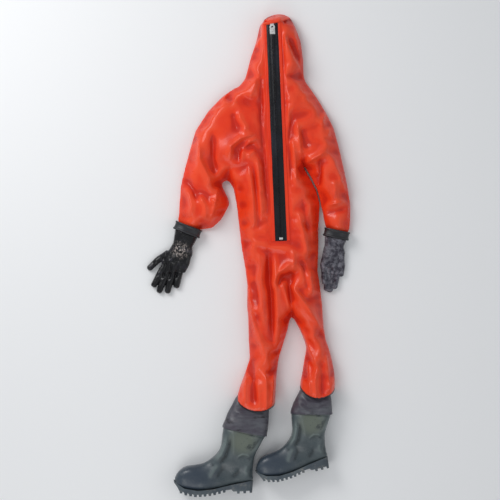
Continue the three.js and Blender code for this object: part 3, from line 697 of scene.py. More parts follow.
def bumped(tree, shader, height, distance, strength=1.0):
    bump = tree.nodes.new("ShaderNodeBump")
    bump.inputs["Strength"].default_value = strength
    bump.inputs["Distance"].default_value = distance
    tree.links.new(height, bump.inputs["Height"])
    tree.links.new(bump.outputs["Normal"], shader.inputs["Normal"])


def glossed(tree, shader, pattern, low, high, smooth, rough):
    """Roughness that follows a pattern from smooth to rough."""
    tree.links.new(ranged(tree, pattern, low, high, smooth, rough), shader.inputs["Roughness"])


coated, tree, shader = finish_named("coated_fabric")
spot = tree.nodes.new("ShaderNodeTexCoord").outputs["Object"]
broad = ranged(tree, noise_node(tree, spot, 7, 3), 0.3, 0.7)
colour = mixed(tree, "RGBA", (0.78, 0.034, 0.008, 1), (0.86, 0.052, 0.012, 1), broad)
# Painted shade and highlight from the fold attribute: the fabric turns dark red in the fold valleys
# (painted shade) and lighter orange on the crests (painted highlight).
folds = tree.nodes.new("ShaderNodeAttribute")
folds.attribute_name = "painted_shade_and_highlight"
valley_shade = ranged(tree, folds.outputs["Fac"], 0.48, 0.12)
crest = ranged(tree, folds.outputs["Fac"], 0.56, 0.92)
colour = mixed(tree, "RGBA", colour, (0.50, 0.012, 0.006, 1), mixed(tree, "FLOAT", 0.0, 0.7, valley_shade))
colour = mixed(tree, "RGBA", colour, (0.90, 0.085, 0.030, 1), mixed(tree, "FLOAT", 0.0, 0.7, crest))
streaks = ranged(tree, noise_node(tree, spot, 26, 5, 0.6, (1, 0.35, 1)), 0.45, 0.75)
colour = mixed(tree, "RGBA", colour, (0.60, 0.018, 0.007, 1), mixed(tree, "FLOAT", 0.0, 0.4, streaks))
soil = placed(tree, soiling, Patch_Size=11.0, Amount=0.2)
colour = mixed(tree, "RGBA", colour, (0.36, 0.07, 0.05, 1), soil.outputs["Mask"])
tree.links.new(colour, shader.inputs["Base Color"])
glossed(tree, shader, noise_node(tree, spot, 18, 4), 0.3, 0.75, 0.26, 0.42)
shader.inputs["Coat Weight"].default_value = 0.2
shader.inputs["Coat Roughness"].default_value = 0.16
shader.inputs["Specular IOR Level"].default_value = 0.22
weave = placed(tree, grain, Scale=900.0, Waviness=90.0)
bumped(tree, shader, weave.outputs["Height"], 0.0006, 0.4)
for piece in shell_pieces.values():
    piece.data.materials.append(coated)


# ---------------------------------------------------------------------------------------------
# Leg hems: a dark rubber band welded round the end of each leg, over the bootleg.

rubber_black, tree, shader = finish_named("band_rubber")
spot = tree.nodes.new("ShaderNodeTexCoord").outputs["Object"]
dust = placed(tree, soiling, Patch_Size=22.0, Amount=0.5)
colour = mixed(tree, "RGBA", (0.014, 0.014, 0.017, 1), (0.085, 0.085, 0.095, 1), dust.outputs["Mask"])
worn = ranged(tree, noise_node(tree, spot, 30, 5), 0.5, 0.75)
colour = mixed(tree, "RGBA", colour, (0.040, 0.042, 0.050, 1), worn)
tree.links.new(colour, shader.inputs["Base Color"])
glossed(tree, shader, noise_node(tree, spot, 24, 4), 0.3, 0.7, 0.3, 0.52)
pores = placed(tree, grain, Scale=1400.0, Waviness=140.0)
bumped(tree, shader, pores.outputs["Height"], 0.0005, 0.5)

for side, hem in hems.items():
    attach(hem, f"{side}_shin")
    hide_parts(f"{side}_leg_hem_band")
    hem.data.materials.append(rubber_black)


# ---------------------------------------------------------------------------------------------
# Zip: two rubber-coated tapes whose cogs lock down the middle, closed off by a stop at each end
# and welded to the chest under a band of the suit's own fabric on each side.

TAPE_REACH = 22.5
COG_PITCH = 4.4
COG_FROM = 18
COG_TO = 832
zip_place = Matrix.Translation(zip_foot) @ Matrix(
    ((zip_across.x, zip_up.x, 0, 0), (zip_across.y, zip_up.y, 0, 0), (0, 0, 1, 0), (0, 0, 0, 1)))


def swept(name, section, spots, closed_ends=True):
    """A closed section (x, z) carried along +Y to each spot (y, x shift, z shift), in millimetres."""
    verts = [((x + dx) * MM, y * MM, (z + dz) * MM) for y, dx, dz in spots for x, z in section]
    n = len(section)
    faces = [
        (r + i, r + (i + 1) % n, r + n + (i + 1) % n, r + n + i)
        for r in range(0, (len(spots) - 1) * n, n) for i in range(n)]
    if closed_ends:
        faces += [tuple(range(n))[::-1], tuple(range((len(spots) - 1) * n, len(spots) * n))]
    mesh = bpy.data.meshes.new(name)
    mesh.from_pydata(verts, [], faces)
    made = bpy.data.objects.new(name, mesh)
    bpy.context.scene.collection.objects.link(made)
    tidy = bmesh.new()
    tidy.from_mesh(mesh)
    bmesh.ops.recalc_face_normals(tidy, faces=tidy.faces)
    tidy.to_mesh(mesh)
    tidy.free()
    return made


def smooth_by_angle(obj, degrees=40):
    only(obj)
    bpy.ops.object.shade_smooth_by_angle(angle=math.radians(degrees))
    return obj


def along_zip(step, wander, seed):
    rows = int(ZIP_LENGTH / MM / step)
    return [
        (ZIP_LENGTH / MM * i / rows,
         wander * noise.noise(Vector((i * step / 70, seed, 0))),
         0.5 * wander * noise.noise(Vector((i * step / 45, seed + 9, 0))))
        for i in range(rows + 1)]


coated_tape, tree, shader = finish_named("zip_tape_rubber")
spot = tree.nodes.new("ShaderNodeTexCoord").outputs["Object"]
film = ranged(tree, noise_node(tree, spot, 14, 5, 0.6, (1, 0.3, 1)), 0.4, 0.72)
colour = mixed(tree, "RGBA", (0.0035, 0.0035, 0.005, 1), (0.012, 0.014, 0.022, 1), film)
tree.links.new(colour, shader.inputs["Base Color"])
glossed(tree, shader, noise_node(tree, spot, 20, 4), 0.3, 0.7, 0.16, 0.34)
shader.inputs["Specular IOR Level"].default_value = 0.3
ribs = tree.nodes.new("ShaderNodeTexWave")
ribs.bands_direction = "X"
ribs.inputs["Scale"].default_value = 190
ribs.inputs["Distortion"].default_value = 1.2
tree.links.new(spot, ribs.inputs["Vector"])
bumped(tree, shader, ribs.outputs["Fac"], 0.0003, 0.5)

for side, sign in (("right", -1), ("left", 1)):
    section = [(0.4, 78.0), (0.4, 80.3), (1.6, 80.8), (3.8, 80.6), (5.4, 79.6), (9, 79.35), (15, 79.5),
               (20.6, 79.4), (TAPE_REACH - 0.5, 79.0), (TAPE_REACH, 78.5), (TAPE_REACH - 0.2, 78.0)]
    section = [(sign * x, z) for x, z in section]
    tape = swept(f"zip_tape_{side}.cloth", section, along_zip(7, 0.25, 5 + sign))
    tape.matrix_world = zip_place
    tape.data.materials.append(coated_tape)
    smooth_by_angle(tape)
    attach(tape, "suit")
    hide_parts(f"zip_tape_{side}")

    cog = bmesh.new()
    bmesh.ops.create_cube(cog, size=1)
    bmesh.ops.scale(cog, vec=(4.4 * MM, 2.5 * MM, 1.7 * MM), verts=cog.verts)
    bmesh.ops.bevel(cog, geom=cog.edges, offset=0.5 * MM, segments=2, affect="EDGES")
    shape = np.array([v.co for v in cog.verts])
    shape_faces = [[v.index for v in f.verts] for f in cog.faces]
    cog.free()
    count = int((COG_TO - COG_FROM) / COG_PITCH)
    verts = []
    cog_faces = []
    for i in range(count):
        y = COG_FROM + COG_PITCH * (i + (0.5 if sign > 0 else 0))
        cog_faces += [[k + len(verts) for k in f] for f in shape_faces]
        verts += (shape + np.array((sign * 1.9, y, 81.2)) * MM).tolist()
    mesh = bpy.data.meshes.new(f"zip_cogs_{side}")
    mesh.from_pydata(verts, [], cog_faces)
    cogs = bpy.data.objects.new(f"zip_cogs_{side}", mesh)
    bpy.context.scene.collection.objects.link(cogs)
    cogs.matrix_world = zip_place
    cogs.data.materials.append(coated_tape)
    smooth_by_angle(cogs)
    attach(cogs, "suit")
    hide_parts(f"zip_chain_{side}")

    section = [(22.9, 78.0), (22.7, 79.6), (23.4, 80.2), (25.6, 80.3), (26.6, 79.9), (29.5, 79.9),
               (30.5, 80.25), (33, 79.9), (34.6, 78.6), (35.2, 77.2)]
    section = [(sign * x, z) for x, z in section]
    band = swept(f"zip_weld_band_{side}.fabric", section, along_zip(6, 0.9, 31 + sign))
    band.matrix_world = zip_place
    # A middle value: the bands get neither painted shade nor a painted highlight.
    shade_folds(band, np.full(len(band.data.vertices), 0.5))
    band.data.materials.append(coated)
    smooth_by_angle(band, 60)
    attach(band, "suit")
    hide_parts(f"zip_weld_band_{side}")


# ---------------------------------------------------------------------------------------------
# Zip metal: cast stops, the slider that closes the cogs, and the round pull that turns on its
# pin. All are bright nickel over brass, with rounded edges.

nickel, tree, shader = finish_named("nickel_plate")
spot = tree.nodes.new("ShaderNodeTexCoord").outputs["Object"]
tarnish = ranged(tree, noise_node(tree, spot, 160, 5), 0.45, 0.75)
colour = mixed(tree, "RGBA", (0.86, 0.86, 0.84, 1), (0.52, 0.50, 0.47, 1), tarnish)
tree.links.new(colour, shader.inputs["Base Color"])
tree.links.new(mixed(tree, "FLOAT", 0.26, 0.45, tarnish), shader.inputs["Roughness"])
shader.inputs["Metallic"].default_value = 0.75
brushed = placed(tree, grain, Scale=2600.0, Waviness=300.0)
bumped(tree, shader, brushed.outputs["Height"], 0.0002, 0.4)


def rounded_copy(name, node, edge):
    """A copy of a CAD node with its edges rounded over."""
    made = joined_copy(name, [node])
    applied(made, "WELD", merge_threshold=1e-6)
    only(made)
    bpy.ops.object.mode_set(mode="EDIT")
    bpy.ops.mesh.select_all(action="SELECT")
    bpy.ops.mesh.dissolve_limited(angle_limit=math.radians(4))
    bpy.ops.object.mode_set(mode="OBJECT")
    applied(made, "BEVEL", width=edge, segments=3, limit_method="ANGLE", angle_limit=math.radians(28))
    smooth_by_angle(made, 50)
    return made


METAL = {
    "zip_top_stop": ("suit", 0.9),
    "zip_bottom_stop": ("suit", 0.9),
    "zip_slider": ("zip_slider", 0.45),
    "zip_pull_pin": ("zip_slider", 0.2),
    "zip_pull_ring": ("zip_pull", 0.5),
}
for node, (body, edge) in METAL.items():
    metal = rounded_copy(f"{node}.cast", node, edge * MM)
    metal.data.materials.append(nickel)
    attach(metal, body)
    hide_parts(node)


# ---------------------------------------------------------------------------------------------
# Cuffs: at each sleeve's end a hard plastic ring carries a thick moulded rubber band with a bead
# at both edges. It holds the sleeve and the glove together gas-tight, so it can be undone.

CUFFS = {
    "right": dict(at=(-238.5, 97.7), lean=-21, width=112, height=62),
    "left": dict(at=(343.0, 80.2), lean=-12, width=104, height=60),
}
# Out from the band's face and along the arm, round the band's section
BAND_SECTION = [
    (-8, 16), (-4, 16.5), (-1.4, 16.2), (-0.2, 14.8), (0, 12.8), (-0.5, 10.8), (-2.2, 9.6), (-3, 7),
    (-3, 0), (-3, -5.5), (-2.4, -8), (-0.8, -9.2), (0, -11.2), (0, -13.2), (-0.8, -15.4), (-3, -16.5),
    (-6, -16.5), (-8, -15), (-8, -5), (-8, 6)]


def oval_ring(width, height, inset, count, power=0.9):
    """Points (x, z) round an oval that stands on the floor."""
    turn = np.linspace(0, 2 * np.pi, count, endpoint=False)
    wave = lambda value: np.sign(value) * np.abs(value) ** power
    x = (width / 2 - inset) * wave(np.cos(turn))
    z = height / 2 + (height / 2 - inset) * wave(np.sin(turn))
    return np.stack([x, z], 1)


def quad_grid(rows, columns, close_rows=False):
    """Quads over a grid of points whose columns close on themselves."""
    found = []
    for r in range(rows if close_rows else rows - 1):
        for c in range(columns):
            a = r * columns + c
            b = r * columns + (c + 1) % columns
            up = ((r + 1) % rows) * columns
            found.append((a, b, up + (c + 1) % columns, up + c))
    return found


AROUND = 96
for side, cuff in CUFFS.items():
    rings = []
    for out, y in BAND_SECTION:
        ring = oval_ring(cuff["width"], cuff["height"], -out, AROUND)
        rings.append(np.column_stack([ring[:, 0], np.full(AROUND, y), ring[:, 1]]))
    verts = np.concatenate(rings) * MM
    verts[:, 1] += uneven(verts, 0.03, 0.8 * MM, 21)
    band = new_mesh(f"{side}_cuff_band.moulded", verts, quad_grid(len(BAND_SECTION), AROUND, True))
    facing_out(band)
    band.matrix_world = Matrix.Translation(Vector((*cuff["at"], 0)) * MM) @ Matrix.Rotation(
        math.radians(cuff["lean"]), 4, "Z")
    applied(band, "SUBSURF", levels=1)
    band.data.materials.append(rubber_black)
    band.data.shade_smooth()
    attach(band, f"{side}_sleeve")
    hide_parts(f"{side}_cuff_band")

ring_plastic, tree, shader = finish_named("cuff_ring_plastic")
flow = placed(tree, grain, Scale=700.0, Waviness=60.0)
tree.links.new(
    mixed(tree, "RGBA", (0.030, 0.033, 0.038, 1), (0.055, 0.058, 0.064, 1), flow.outputs["Height"]),
    shader.inputs["Base Color"])
tree.links.new(ranged(tree, flow.outputs["Height"], 0.3, 0.7, 0.35, 0.5), shader.inputs["Roughness"])
for side in CUFFS:
    hard_ring = frame["nodes"][f"{side}_cuff_ring"]
    hard_ring.data.materials.clear()
    hard_ring.data.materials.append(ring_plastic)


# ---------------------------------------------------------------------------------------------
# Gloves: heavy dipped rubber gauntlets drawn over the cuff rings. The right one lies palm up with
# its fingers spread, the left one lies flat and is greyed all over by dust and wear.

GLOVE_GRID = 2.3 * MM
GLOVE_CREASES = {
    "right": [
        ([(-326, -20), (-325, -45), (-334, -84)], -7, 5, 5, False, True),
        ([(-300, -28), (-303, -50), (-309, -88)], -7, 5, 5, False, True),
        ([(-276, -24), (-279, -50), (-284, -86)], -7, 5, 5, False, True),
        ([(-318, 18), (-332, -6), (-330, -34), (-312, -44)], -6, 9, 7),
        ([(-322, 6), (-345, -10), (-372, -34)], 3, 9, 9),
        ([(-262, 18), (-276, -8), (-300, -22)], 3, 12, 12),
        ([(-300, 20), (-262, 8), (-228, 4)], -3, 8, 8),
        ([(-282, 46), (-262, 30), (-232, 26)], 3, 8, 8),
        ([(-346, -78), (-362, -84)], -1.6, 3, 3, True, True),
        ([(-322, -86), (-344, -92)], -1.6, 3, 3, True, True),
        ([(-297, -90), (-318, -94)], -1.6, 3, 3, True, True),
        ([(-268, -82), (-288, -86)], -1.6, 3, 3, True, True),
    ],
    "left": [
        ([(346, -34), (340, -60), (334, -104)], -6, 5, 5, False, True),
        ([(326, -40), (324, -64), (321, -112)], -7, 5, 5, False, True),
        ([(310, -42), (308, -70), (308, -106)], -6, 5, 5, False, True),
        ([(352, 4), (352, -30), (346, -56)], -6, 7, 6),
        ([(292, 22), (320, 16), (366, 24)], -4, 8, 8),
        ([(296, 40), (330, 32), (362, 42)], 3, 8, 8),
        ([(300, -6), (326, -14), (344, -8)], 2.5, 11, 11),
        ([(296, -70), (318, -80)], -1.6, 3, 3, True, True),
        ([(318, -84), (346, -88)], -1.6, 3, 3, True, True),
        ([(350, -50), (370, -54)], -1.6, 3, 3, True, True),
    ],
}


def patch_mask(tree, spot, centre, near, far):
    """1 inside a round patch about a place on the piece, fading to 0 at `far`."""
    distance = tree.nodes.new("ShaderNodeVectorMath")
    distance.operation = "DISTANCE"
    tree.links.new(spot, distance.inputs[0])
    distance.inputs[1].default_value = centre
    return ranged(tree, distance.outputs["Value"], far, near)


def product(tree, a, b):
    node = tree.nodes.new("ShaderNodeMath")
    node.operation = "MULTIPLY"
    tree.links.new(a, node.inputs[0])
    tree.links.new(b, node.inputs[1])
    return node.outputs[0]


glove_finish = {}
glove_finish["right"], tree, shader = finish_named("glove_rubber_black")
spot = tree.nodes.new("ShaderNodeTexCoord").outputs["Object"]
colour = mixed(tree, "RGBA", (0.006, 0.006, 0.007, 1), (0.032, 0.030, 0.042, 1),
               ranged(tree, noise_node(tree, spot, 34, 5, 0.6), 0.5, 0.78))
scratches = ranged(tree, noise_node(tree, spot, 150, 4, 0.7, (1, 0.7, 1)), 0.5, 0.6)
worn_patch = product(tree, scratches, patch_mask(tree, spot, (-0.268, 0.018, 0.03), 0.012, 0.045))
colour = mixed(tree, "RGBA", colour, (0.42, 0.36, 0.33, 1), worn_patch)
tree.links.new(colour, shader.inputs["Base Color"])
glossed(tree, shader, noise_node(tree, spot, 40, 4), 0.3, 0.7, 0.14, 0.36)
shader.inputs["Specular IOR Level"].default_value = 0.35
pores = placed(tree, grain, Scale=1500.0, Waviness=160.0)
bumped(tree, shader, pores.outputs["Height"], 0.0007, 0.6)

glove_finish["left"], tree, shader = finish_named("glove_rubber_dusty")
spot = tree.nodes.new("ShaderNodeTexCoord").outputs["Object"]
cloud = ranged(tree, noise_node(tree, spot, 46, 7, 0.68), 0.4, 0.66)
colour = mixed(tree, "RGBA", (0.016, 0.013, 0.026, 1), (0.17, 0.17, 0.20, 1), cloud)
speckle = ranged(tree, noise_node(tree, spot, 190, 5, 0.7), 0.54, 0.72)
colour = mixed(tree, "RGBA", colour, (0.30, 0.31, 0.34, 1), product(tree, speckle, cloud))
tree.links.new(colour, shader.inputs["Base Color"])
tree.links.new(mixed(tree, "FLOAT", 0.36, 0.72, cloud), shader.inputs["Roughness"])
pores = placed(tree, grain, Scale=1500.0, Waviness=170.0)
bumped(tree, shader, pores.outputs["Height"], 0.0009, 0.7)

for side, creases in GLOVE_CREASES.items():
    nodes = [f"{side}_gauntlet", f"{side}_glove"]
    glove = joined_copy(f"{side}_dipped_glove", nodes)
    applied(glove, "REMESH", mode="VOXEL", voxel_size=GLOVE_GRID, use_smooth_shade=True)
    applied(glove, "SMOOTH", factor=0.5, iterations=4)
    applied(glove, "SUBSURF", levels=1)
    points = points_of(glove)
    up = ease(normals_of(glove)[:, 2], 0.0, 0.5)
    for route, rise, *rest in creases:
        points[:, 2] += up * crease(points[:, :2], route, rise, *rest)
    points += normals_of(glove) * (0.9 * MM + uneven(points, 0.022, 1.1 * MM, 8))[:, None]
    points[:, 2] = np.maximum(points[:, 2], 0.3 * MM)
    set_points(glove, points)
    applied(glove, "SMOOTH", factor=0.4, iterations=1)
    glove.data.shade_smooth()
    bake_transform(glove)
    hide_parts(*nodes)
    glove.data.materials.append(glove_finish[side])


# ---------------------------------------------------------------------------------------------
# Boots: moulded rubber safety boots lying on their sides. Each is one hollow moulding with a
# cleated outsole, and holds a steel toe cap, a steel midsole and a felt insole.

BOOTS = {
    "right": dict(heel=(15.0, -880.8), turn=2.4, size=0.98),
    "left": dict(heel=(306.0, -788.8), turn=13.4, size=0.91),
}
BOOT_MIDDLE = 51.5  # height of the boot's middle plane
BOOT_WALL = 4.5
# Front x, front y, back or sole x, y, and width, from the shaft's mouth to the toe, heel at 0, 0
UPPER = [
    (-105, 226, 63, 182, 98), (-112, 190, 46, 157, 98), (-119, 149, 26, 124, 95), (-129, 124, 11, 92, 91),
    (-147, 105, 4, 58, 86), (-170, 89, 1, 26, 78), (-190, 79, -4, 0, 74), (-212, 74, -60, -8, 76),
    (-235, 71, -120, -20, 86), (-259, 68, -175, -28, 96), (-280, 59, -225, -30, 95),
    (-297, 44, -268, -20, 80), (-307, 27, -297, -5, 50)]
BOOT_SIDES = 120
OUTER_RINGS = 190
INNER_RINGS = 60
SQUARENESS = 0.66  # 1 would make the boot oval across
# Raised and sunk lines on the boot's side, in its own frame
BOOT_CREASES = [
    ([(-66, 208), (-69, 150), (-68, 108)], 3.2, 4, 4),
    ([(-58, 88), (-52, 104), (-34, 112), (-14, 106), (-2, 82)], 4.2, 4, 7),
    ([(-48, 88), (-42, 98), (-30, 102), (-16, 96), (-8, 80)], -3, 4, 4),
    ([(56, 172), (30, 140), (4, 106)], 4.2, 7, 5),
    ([(44, 178), (20, 146), (-6, 114)], -3, 6, 6),
    ([(-94, 204), (-100, 156), (-120, 112), (-160, 78)], 6.5, 9, 12),
    ([(-80, 196), (-86, 150), (-104, 104), (-140, 66)], -6, 9, 12),
    ([(-126, 84), (-158, 42), (-178, 14)], 4.5, 12, 12),
    ([(-104, 78), (-134, 36), (-150, 8)], -4, 12, 12),
    ([(-20, 74), (-26, 42), (-16, 14)], 3.8, 7, 7),
    ([(-2, 62), (-8, 32), (-6, 4)], -3.4, 5, 5),
    ([(-44, 60), (-60, 34), (-88, 14)], -3.5, 10, 8),
    ([(-100, 214), (-20, 192), (54, 168)], -2.6, 3, 4, True, True),
]


def station_rings(stations, rings, sides, middle, power, inset=0.0):
    """Rounded loops on a smooth run of chords, as an array rings x sides x 3 in millimetres."""
    rows = np.array(stations, float)
    spots = np.linspace(0, len(rows) - 1, rings)
    base = np.clip(spots.astype(int), 0, len(rows) - 2)
    t = (spots - base)[:, None]
    p0 = rows[np.maximum(base - 1, 0)]
    p1 = rows[base]
    p2 = rows[base + 1]
    p3 = rows[np.minimum(base + 2, len(rows) - 1)]
    run = 0.5 * (2 * p1 + (p2 - p0) * t + (2 * p0 - 5 * p1 + 4 * p2 - p3) * t**2
                 + (3 * p1 - p0 - 3 * p2 + p3) * t**3)
    turn = np.linspace(0, 2 * np.pi, 2001)
    round_x = np.sign(np.cos(turn)) * np.abs(np.cos(turn)) ** power
    round_z = np.sign(np.sin(turn)) * np.abs(np.sin(turn)) ** power
    travelled = np.concatenate([[0], np.cumsum(np.hypot(np.diff(round_x), 0.6 * np.diff(round_z)))])
    even = np.linspace(0, travelled[-1], sides, endpoint=False)
    round_x = np.interp(even, travelled, round_x)
    round_z = np.interp(even, travelled, round_z)
    length = np.hypot(run[:, 2] - run[:, 0], run[:, 3] - run[:, 1])
    share = (0.5 + 0.5 * (1 - 2 * inset / length)[:, None] * round_x)[..., None]
    plan = run[:, None, 0:2] + (run[:, 2:4] - run[:, 0:2])[:, None] * share
    high = middle + (run[:, 4] / 2 - inset)[:, None] * round_z
    return np.concatenate([plan, high[..., None]], 2)


boot_finish, tree, shader = finish_named("boot_rubber_grey")
spot = tree.nodes.new("ShaderNodeTexCoord").outputs["Object"]
colour = mixed(tree, "RGBA", (0.048, 0.064, 0.072, 1), (0.088, 0.112, 0.118, 1),
               ranged(tree, noise_node(tree, spot, 9, 4), 0.35, 0.68))
toe_tone = patch_mask(tree, spot, (-0.25, 0.02, 0.07), 0.03, 0.16)
colour = mixed(tree, "RGBA", colour, (0.028, 0.042, 0.066, 1), mixed(tree, "FLOAT", 0.0, 0.85, toe_tone))
olive = patch_mask(tree, spot, (-0.03, 0.165, 0.1), 0.025, 0.08)
colour = mixed(tree, "RGBA", colour, (0.125, 0.145, 0.110, 1), mixed(tree, "FLOAT", 0.0, 0.8, olive))
stain = ranged(tree, noise_node(tree, spot, 17, 6, 0.65), 0.56, 0.66)
colour = mixed(tree, "RGBA", colour, (0.012, 0.018, 0.024, 1), mixed(tree, "FLOAT", 0.0, 0.75, stain))
dust = placed(tree, soiling, Patch_Size=26.0, Amount=0.35)
colour = mixed(tree, "RGBA", colour, (0.17, 0.19, 0.185, 1), dust.outputs["Mask"])
# Painted shade in the boot's sunk lines and a painted highlight on its raised lines, read from the point
# attribute that the moulding carries.
folds = tree.nodes.new("ShaderNodeAttribute")
folds.attribute_name = "painted_shade_and_highlight"
groove_shade = ranged(tree, folds.outputs["Fac"], 0.46, 0.15)
ridge_highlight = ranged(tree, folds.outputs["Fac"], 0.54, 0.9)
colour = mixed(tree, "RGBA", colour, (0.010, 0.015, 0.018, 1), mixed(tree, "FLOAT", 0.0, 0.85, groove_shade))
colour = mixed(tree, "RGBA", colour, (0.17, 0.21, 0.205, 1), mixed(tree, "FLOAT", 0.0, 0.7, ridge_highlight))
tree.links.new(colour, shader.inputs["Base Color"])
glossed(tree, shader, noise_node(tree, spot, 22, 5), 0.3, 0.7, 0.26, 0.44)
pores = placed(tree, grain, Scale=1100.0, Waviness=110.0)
bumped(tree, shader, pores.outputs["Height"], 0.0007, 0.6)

sole_finish, tree, shader = finish_named("sole_rubber")
spot = tree.nodes.new("ShaderNodeTexCoord").outputs["Object"]
dust = placed(tree, soiling, Patch_Size=30.0, Amount=0.8)
colour = mixed(tree, "RGBA", (0.045, 0.060, 0.075, 1), (0.085, 0.108, 0.122, 1),
               ranged(tree, noise_node(tree, spot, 20, 5), 0.35, 0.7))
colour = mixed(tree, "RGBA", colour, (0.22, 0.21, 0.19, 1), dust.outputs["Mask"])
tree.links.new(colour, shader.inputs["Base Color"])
shader.inputs["Roughness"].default_value = 0.62
pores = placed(tree, grain, Scale=900.0, Waviness=120.0)
bumped(tree, shader, pores.outputs["Height"], 0.0008, 0.7)

toe_steel, tree, shader = finish_named("drawn_steel")
shader.inputs["Metallic"].default_value = 0.9
scale = placed(tree, grain, Scale=600.0, Waviness=45.0)
tree.links.new(mixed(tree, "RGBA", (0.34, 0.35, 0.36, 1), (0.56, 0.57, 0.58, 1), scale.outputs["Height"]),
               shader.inputs["Base Color"])
tree.links.new(ranged(tree, scale.outputs["Height"], 0.3, 0.7, 0.3, 0.5), shader.inputs["Roughness"])

felt, tree, shader = finish_named("insole_felt")
fibre = placed(tree, grain, Scale=2200.0, Waviness=260.0)
tree.links.new(mixed(tree, "RGBA", (0.12, 0.11, 0.09, 1), (0.24, 0.22, 0.18, 1), fibre.outputs["Height"]),
               shader.inputs["Base Color"])
shader.inputs["Roughness"].default_value = 0.95
bumped(tree, shader, fibre.outputs["Height"], 0.001, 0.8)

for side, boot in BOOTS.items():
    turned = Matrix.Rotation(math.radians(boot["turn"]), 4, "Z") @ Matrix.Scale(boot["size"], 4)
    place = Matrix.Translation(Vector((*boot["heel"], 0)) * MM) @ turned
    outer = station_rings(UPPER, OUTER_RINGS, BOOT_SIDES, BOOT_MIDDLE, SQUARENESS)
    inner = station_rings(UPPER[:-1], INNER_RINGS, BOOT_SIDES, BOOT_MIDDLE, SQUARENESS, BOOT_WALL)[::-1]
    nose = np.array((-309, 13, BOOT_MIDDLE))
    caps = [outer[-1] * (1 - k) + nose * k for k in (0.35, 0.7)]
    hollow_end = [inner[0] * (1 - k) + inner[0].mean(0) * k for k in (0.8, 0.4)]
    verts = np.concatenate([*[c[None] for c in hollow_end], inner, outer, *[c[None] for c in caps]])
    rows = len(verts)
    verts = verts.reshape(-1, 3) * MM
    upper_faces = quad_grid(rows, BOOT_SIDES)
    upper_faces.append(tuple(range(BOOT_SIDES)))
    upper_faces.append(tuple(range((rows - 1) * BOOT_SIDES, rows * BOOT_SIDES))[::-1])
    mesh = bpy.data.meshes.new(f"{side}_boot_moulding")
    mesh.from_pydata(verts.tolist(), [], upper_faces)
    moulding = bpy.data.objects.new(f"{side}_boot_moulding", mesh)
    bpy.context.scene.collection.objects.link(moulding)
    facing_out(moulding)
    points = points_of(moulding)
    outside = np.zeros(len(points))
    outside[(len(hollow_end) + INNER_RINGS) * BOOT_SIDES:] = 1
    facing = normals_of(moulding)
    relief = np.zeros(len(points))
    for route, rise, *rest in BOOT_CREASES:
        height = crease(points[:, :2], route, rise, *rest) * outside
        relief += height
        points[:, 2] += height * np.clip(facing[:, 2] * 2, -1, 1)
    points += facing * (uneven(points, 0.05, 1.6 * MM, 14) * outside)[:, None]
    set_points(moulding, points)
    # The relief heights become painted shade in the sunk lines and a painted highlight on the raised
    # ones.
    shade_folds(moulding, np.clip(0.5 + relief / (14 * MM), 0, 1))
    moulding.matrix_world = place
    moulding.data.shade_smooth()
    moulding.data.materials.append(boot_finish)
    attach(moulding, f"{side}_boot")
    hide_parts(f"{side}_boot_upper")

    sole = rounded_copy(f"{side}_cleated_sole", f"{side}_boot_outsole", 0.9 * MM)
    sole.data.materials.append(sole_finish)
    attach(sole, f"{side}_boot")
    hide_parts(f"{side}_boot_outsole")
    for part, finish in (("midsole_plate", toe_steel), ("toe_cap", toe_steel), ("insole", felt)):
        hidden = frame["nodes"][f"{side}_boot_{part}"]
        hidden.data.materials.clear()
        hidden.data.materials.append(finish)


# ---------------------------------------------------------------------------------------------
# Bootlegs: a soft rubber sock between each leg and its boot, welded inside the hem and stretched
# over the boot's mouth, where its edge is rolled. It lies in a few set folds.

BOOTLEG_SIDES = 84
BOOTLEG_RINGS = 60
LEG_END = {
    "right": ((-44, -505), (96, -548)),
    "left": ((206, -478), (326, -500)),
}
BOOTLEG_CREASES = {
    "right": [
        ([(-76, -598), (-20, -622), (40, -634), (98, -626)], 6, 8, 10),
        ([(-60, -628), (0, -645), (60, -652), (104, -648)], -4, 8, 8),
        ([(-84, -640), (-30, -655), (30, -668)], 4, 7, 9),
        ([(-70, -575), (-78, -610), (-92, -650)], 4, 9, 9),
        ([(40, -612), (60, -640), (92, -664)], 4, 10, 8),
    ],
    "left": [
        ([(196, -536), (230, -572), (276, -580), (326, -556)], 6, 7, 9),
        ([(192, -556), (226, -590), (272, -598), (322, -574)], -5, 7, 7),
        ([(188, -576), (220, -606), (262, -614)], 5, 6, 8),
        ([(300, -560), (318, -580), (330, -600)], 4, 8, 8),
    ],
}

bootleg_finish, tree, shader = finish_named("bootleg_rubber")
spot = tree.nodes.new("ShaderNodeTexCoord").outputs["Object"]
colour = mixed(tree, "RGBA", (0.048, 0.040, 0.058, 1), (0.095, 0.100, 0.116, 1),
               ranged(tree, noise_node(tree, spot, 16, 5, 0.6, (0.5, 1.6, 1)), 0.35, 0.65))
blotch = ranged(tree, noise_node(tree, spot, 22, 5, 0.6, (0.6, 2.0, 1)), 0.55, 0.7)
colour = mixed(tree, "RGBA", colour, (0.009, 0.008, 0.011, 1), mixed(tree, "FLOAT", 0.0, 0.9, blotch))
tree.links.new(colour, shader.inputs["Base Color"])
glossed(tree, shader, noise_node(tree, spot, 26, 4), 0.3, 0.7, 0.36, 0.58)
pores = placed(tree, grain, Scale=1200.0, Waviness=130.0)
bumped(tree, shader, pores.outputs["Height"], 0.0007, 0.6)

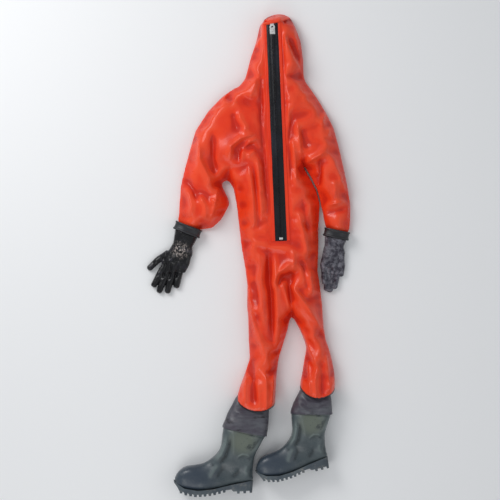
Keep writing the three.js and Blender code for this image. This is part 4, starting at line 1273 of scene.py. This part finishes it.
for side, boot in BOOTS.items():
    turned = Matrix.Rotation(math.radians(boot["turn"]), 4, "Z") @ Matrix.Scale(boot["size"], 4)
    place = Matrix.Translation(Vector((*boot["heel"], 0))) @ turned
    front = place @ Vector((UPPER[0][0], UPPER[0][1], 0))
    back = place @ Vector((UPPER[0][2], UPPER[0][3], 0))
    front_low = place @ Vector((UPPER[0][0] - 1.2, UPPER[0][1] - 9, 0))
    back_low = place @ Vector((UPPER[0][2] - 3, UPPER[0][3] - 8, 0))
    (ax, ay), (bx, by) = LEG_END[side]
    wide = UPPER[0][4] * boot["size"]
    middle_end = BOOT_MIDDLE * boot["size"]
    stations = [(ax + 20, ay - 6, bx - 20, by + 6, 52)]
    for t, inset, high in ((0.22, 15, 56), (0.45, 6, 66), (0.75, 0, 84)):
        stations.append((ax + (front.x - ax) * t + inset, ay + (front.y - ay) * t - inset / 3,
                         bx + (back.x - bx) * t - inset, by + (back.y - by) * t + inset / 3, high))
    stations.append((front.x - 2.2, front.y + 2, back.x + 2.2, back.y + 2, wide + 3))
    stations.append((front_low.x - 3.6, front_low.y, back_low.x + 3.6, back_low.y, wide + 5))
    tube = station_rings(stations, BOOTLEG_RINGS, BOOTLEG_SIDES, 0, 0.72)
    levels = np.linspace(0, 1, BOOTLEG_RINGS)
    tube[..., 2] += (37 + (middle_end - 37) * ease(levels, 0, 0.8))[:, None]
    centre = tube.mean(1, keepdims=True)
    rolled = [centre[-1] + (tube[-1] - centre[-1]) * k + np.array((0, 1.6 * j, 0))
              for j, k in enumerate((0.985, 0.96, 0.95))]
    tucked_in = centre[-1] + (tube[-8] - centre[-8]) * 0.94
    skin = np.concatenate([tube, *[r[None] for r in [*rolled, tucked_in]]])
    rows = len(skin)
    bootleg = new_mesh(f"{side}_bootleg_sock", skin.reshape(-1, 3) * MM, quad_grid(rows, BOOTLEG_SIDES))
    facing_out(bootleg)
    points = points_of(bootleg)
    facing = normals_of(bootleg)
    fixed = np.repeat(ease(levels, 0.0, 0.25) * ease(1 - levels, 0.0, 0.1), BOOTLEG_SIDES)
    fixed = np.concatenate([fixed, np.zeros(len(points) - len(fixed))])
    for route, rise, *rest in BOOTLEG_CREASES[side]:
        points[:, 2] += ease(facing[:, 2], 0, 0.5) * fixed * crease(points[:, :2], route, rise, *rest)
    points += facing * (uneven(points, 0.035, 3 * MM, 27) * fixed)[:, None]
    points[:, 2] = np.maximum(points[:, 2], 0.3 * MM)
    set_points(bootleg, points)
    applied(bootleg, "SUBSURF", levels=1)
    bootleg.data.shade_smooth()
    pivot = Vector(joints[f"{side}_ankle"]["pos_m"])
    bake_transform(bootleg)
    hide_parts(f"{side}_bootleg")
    bootleg.data.materials.append(bootleg_finish)
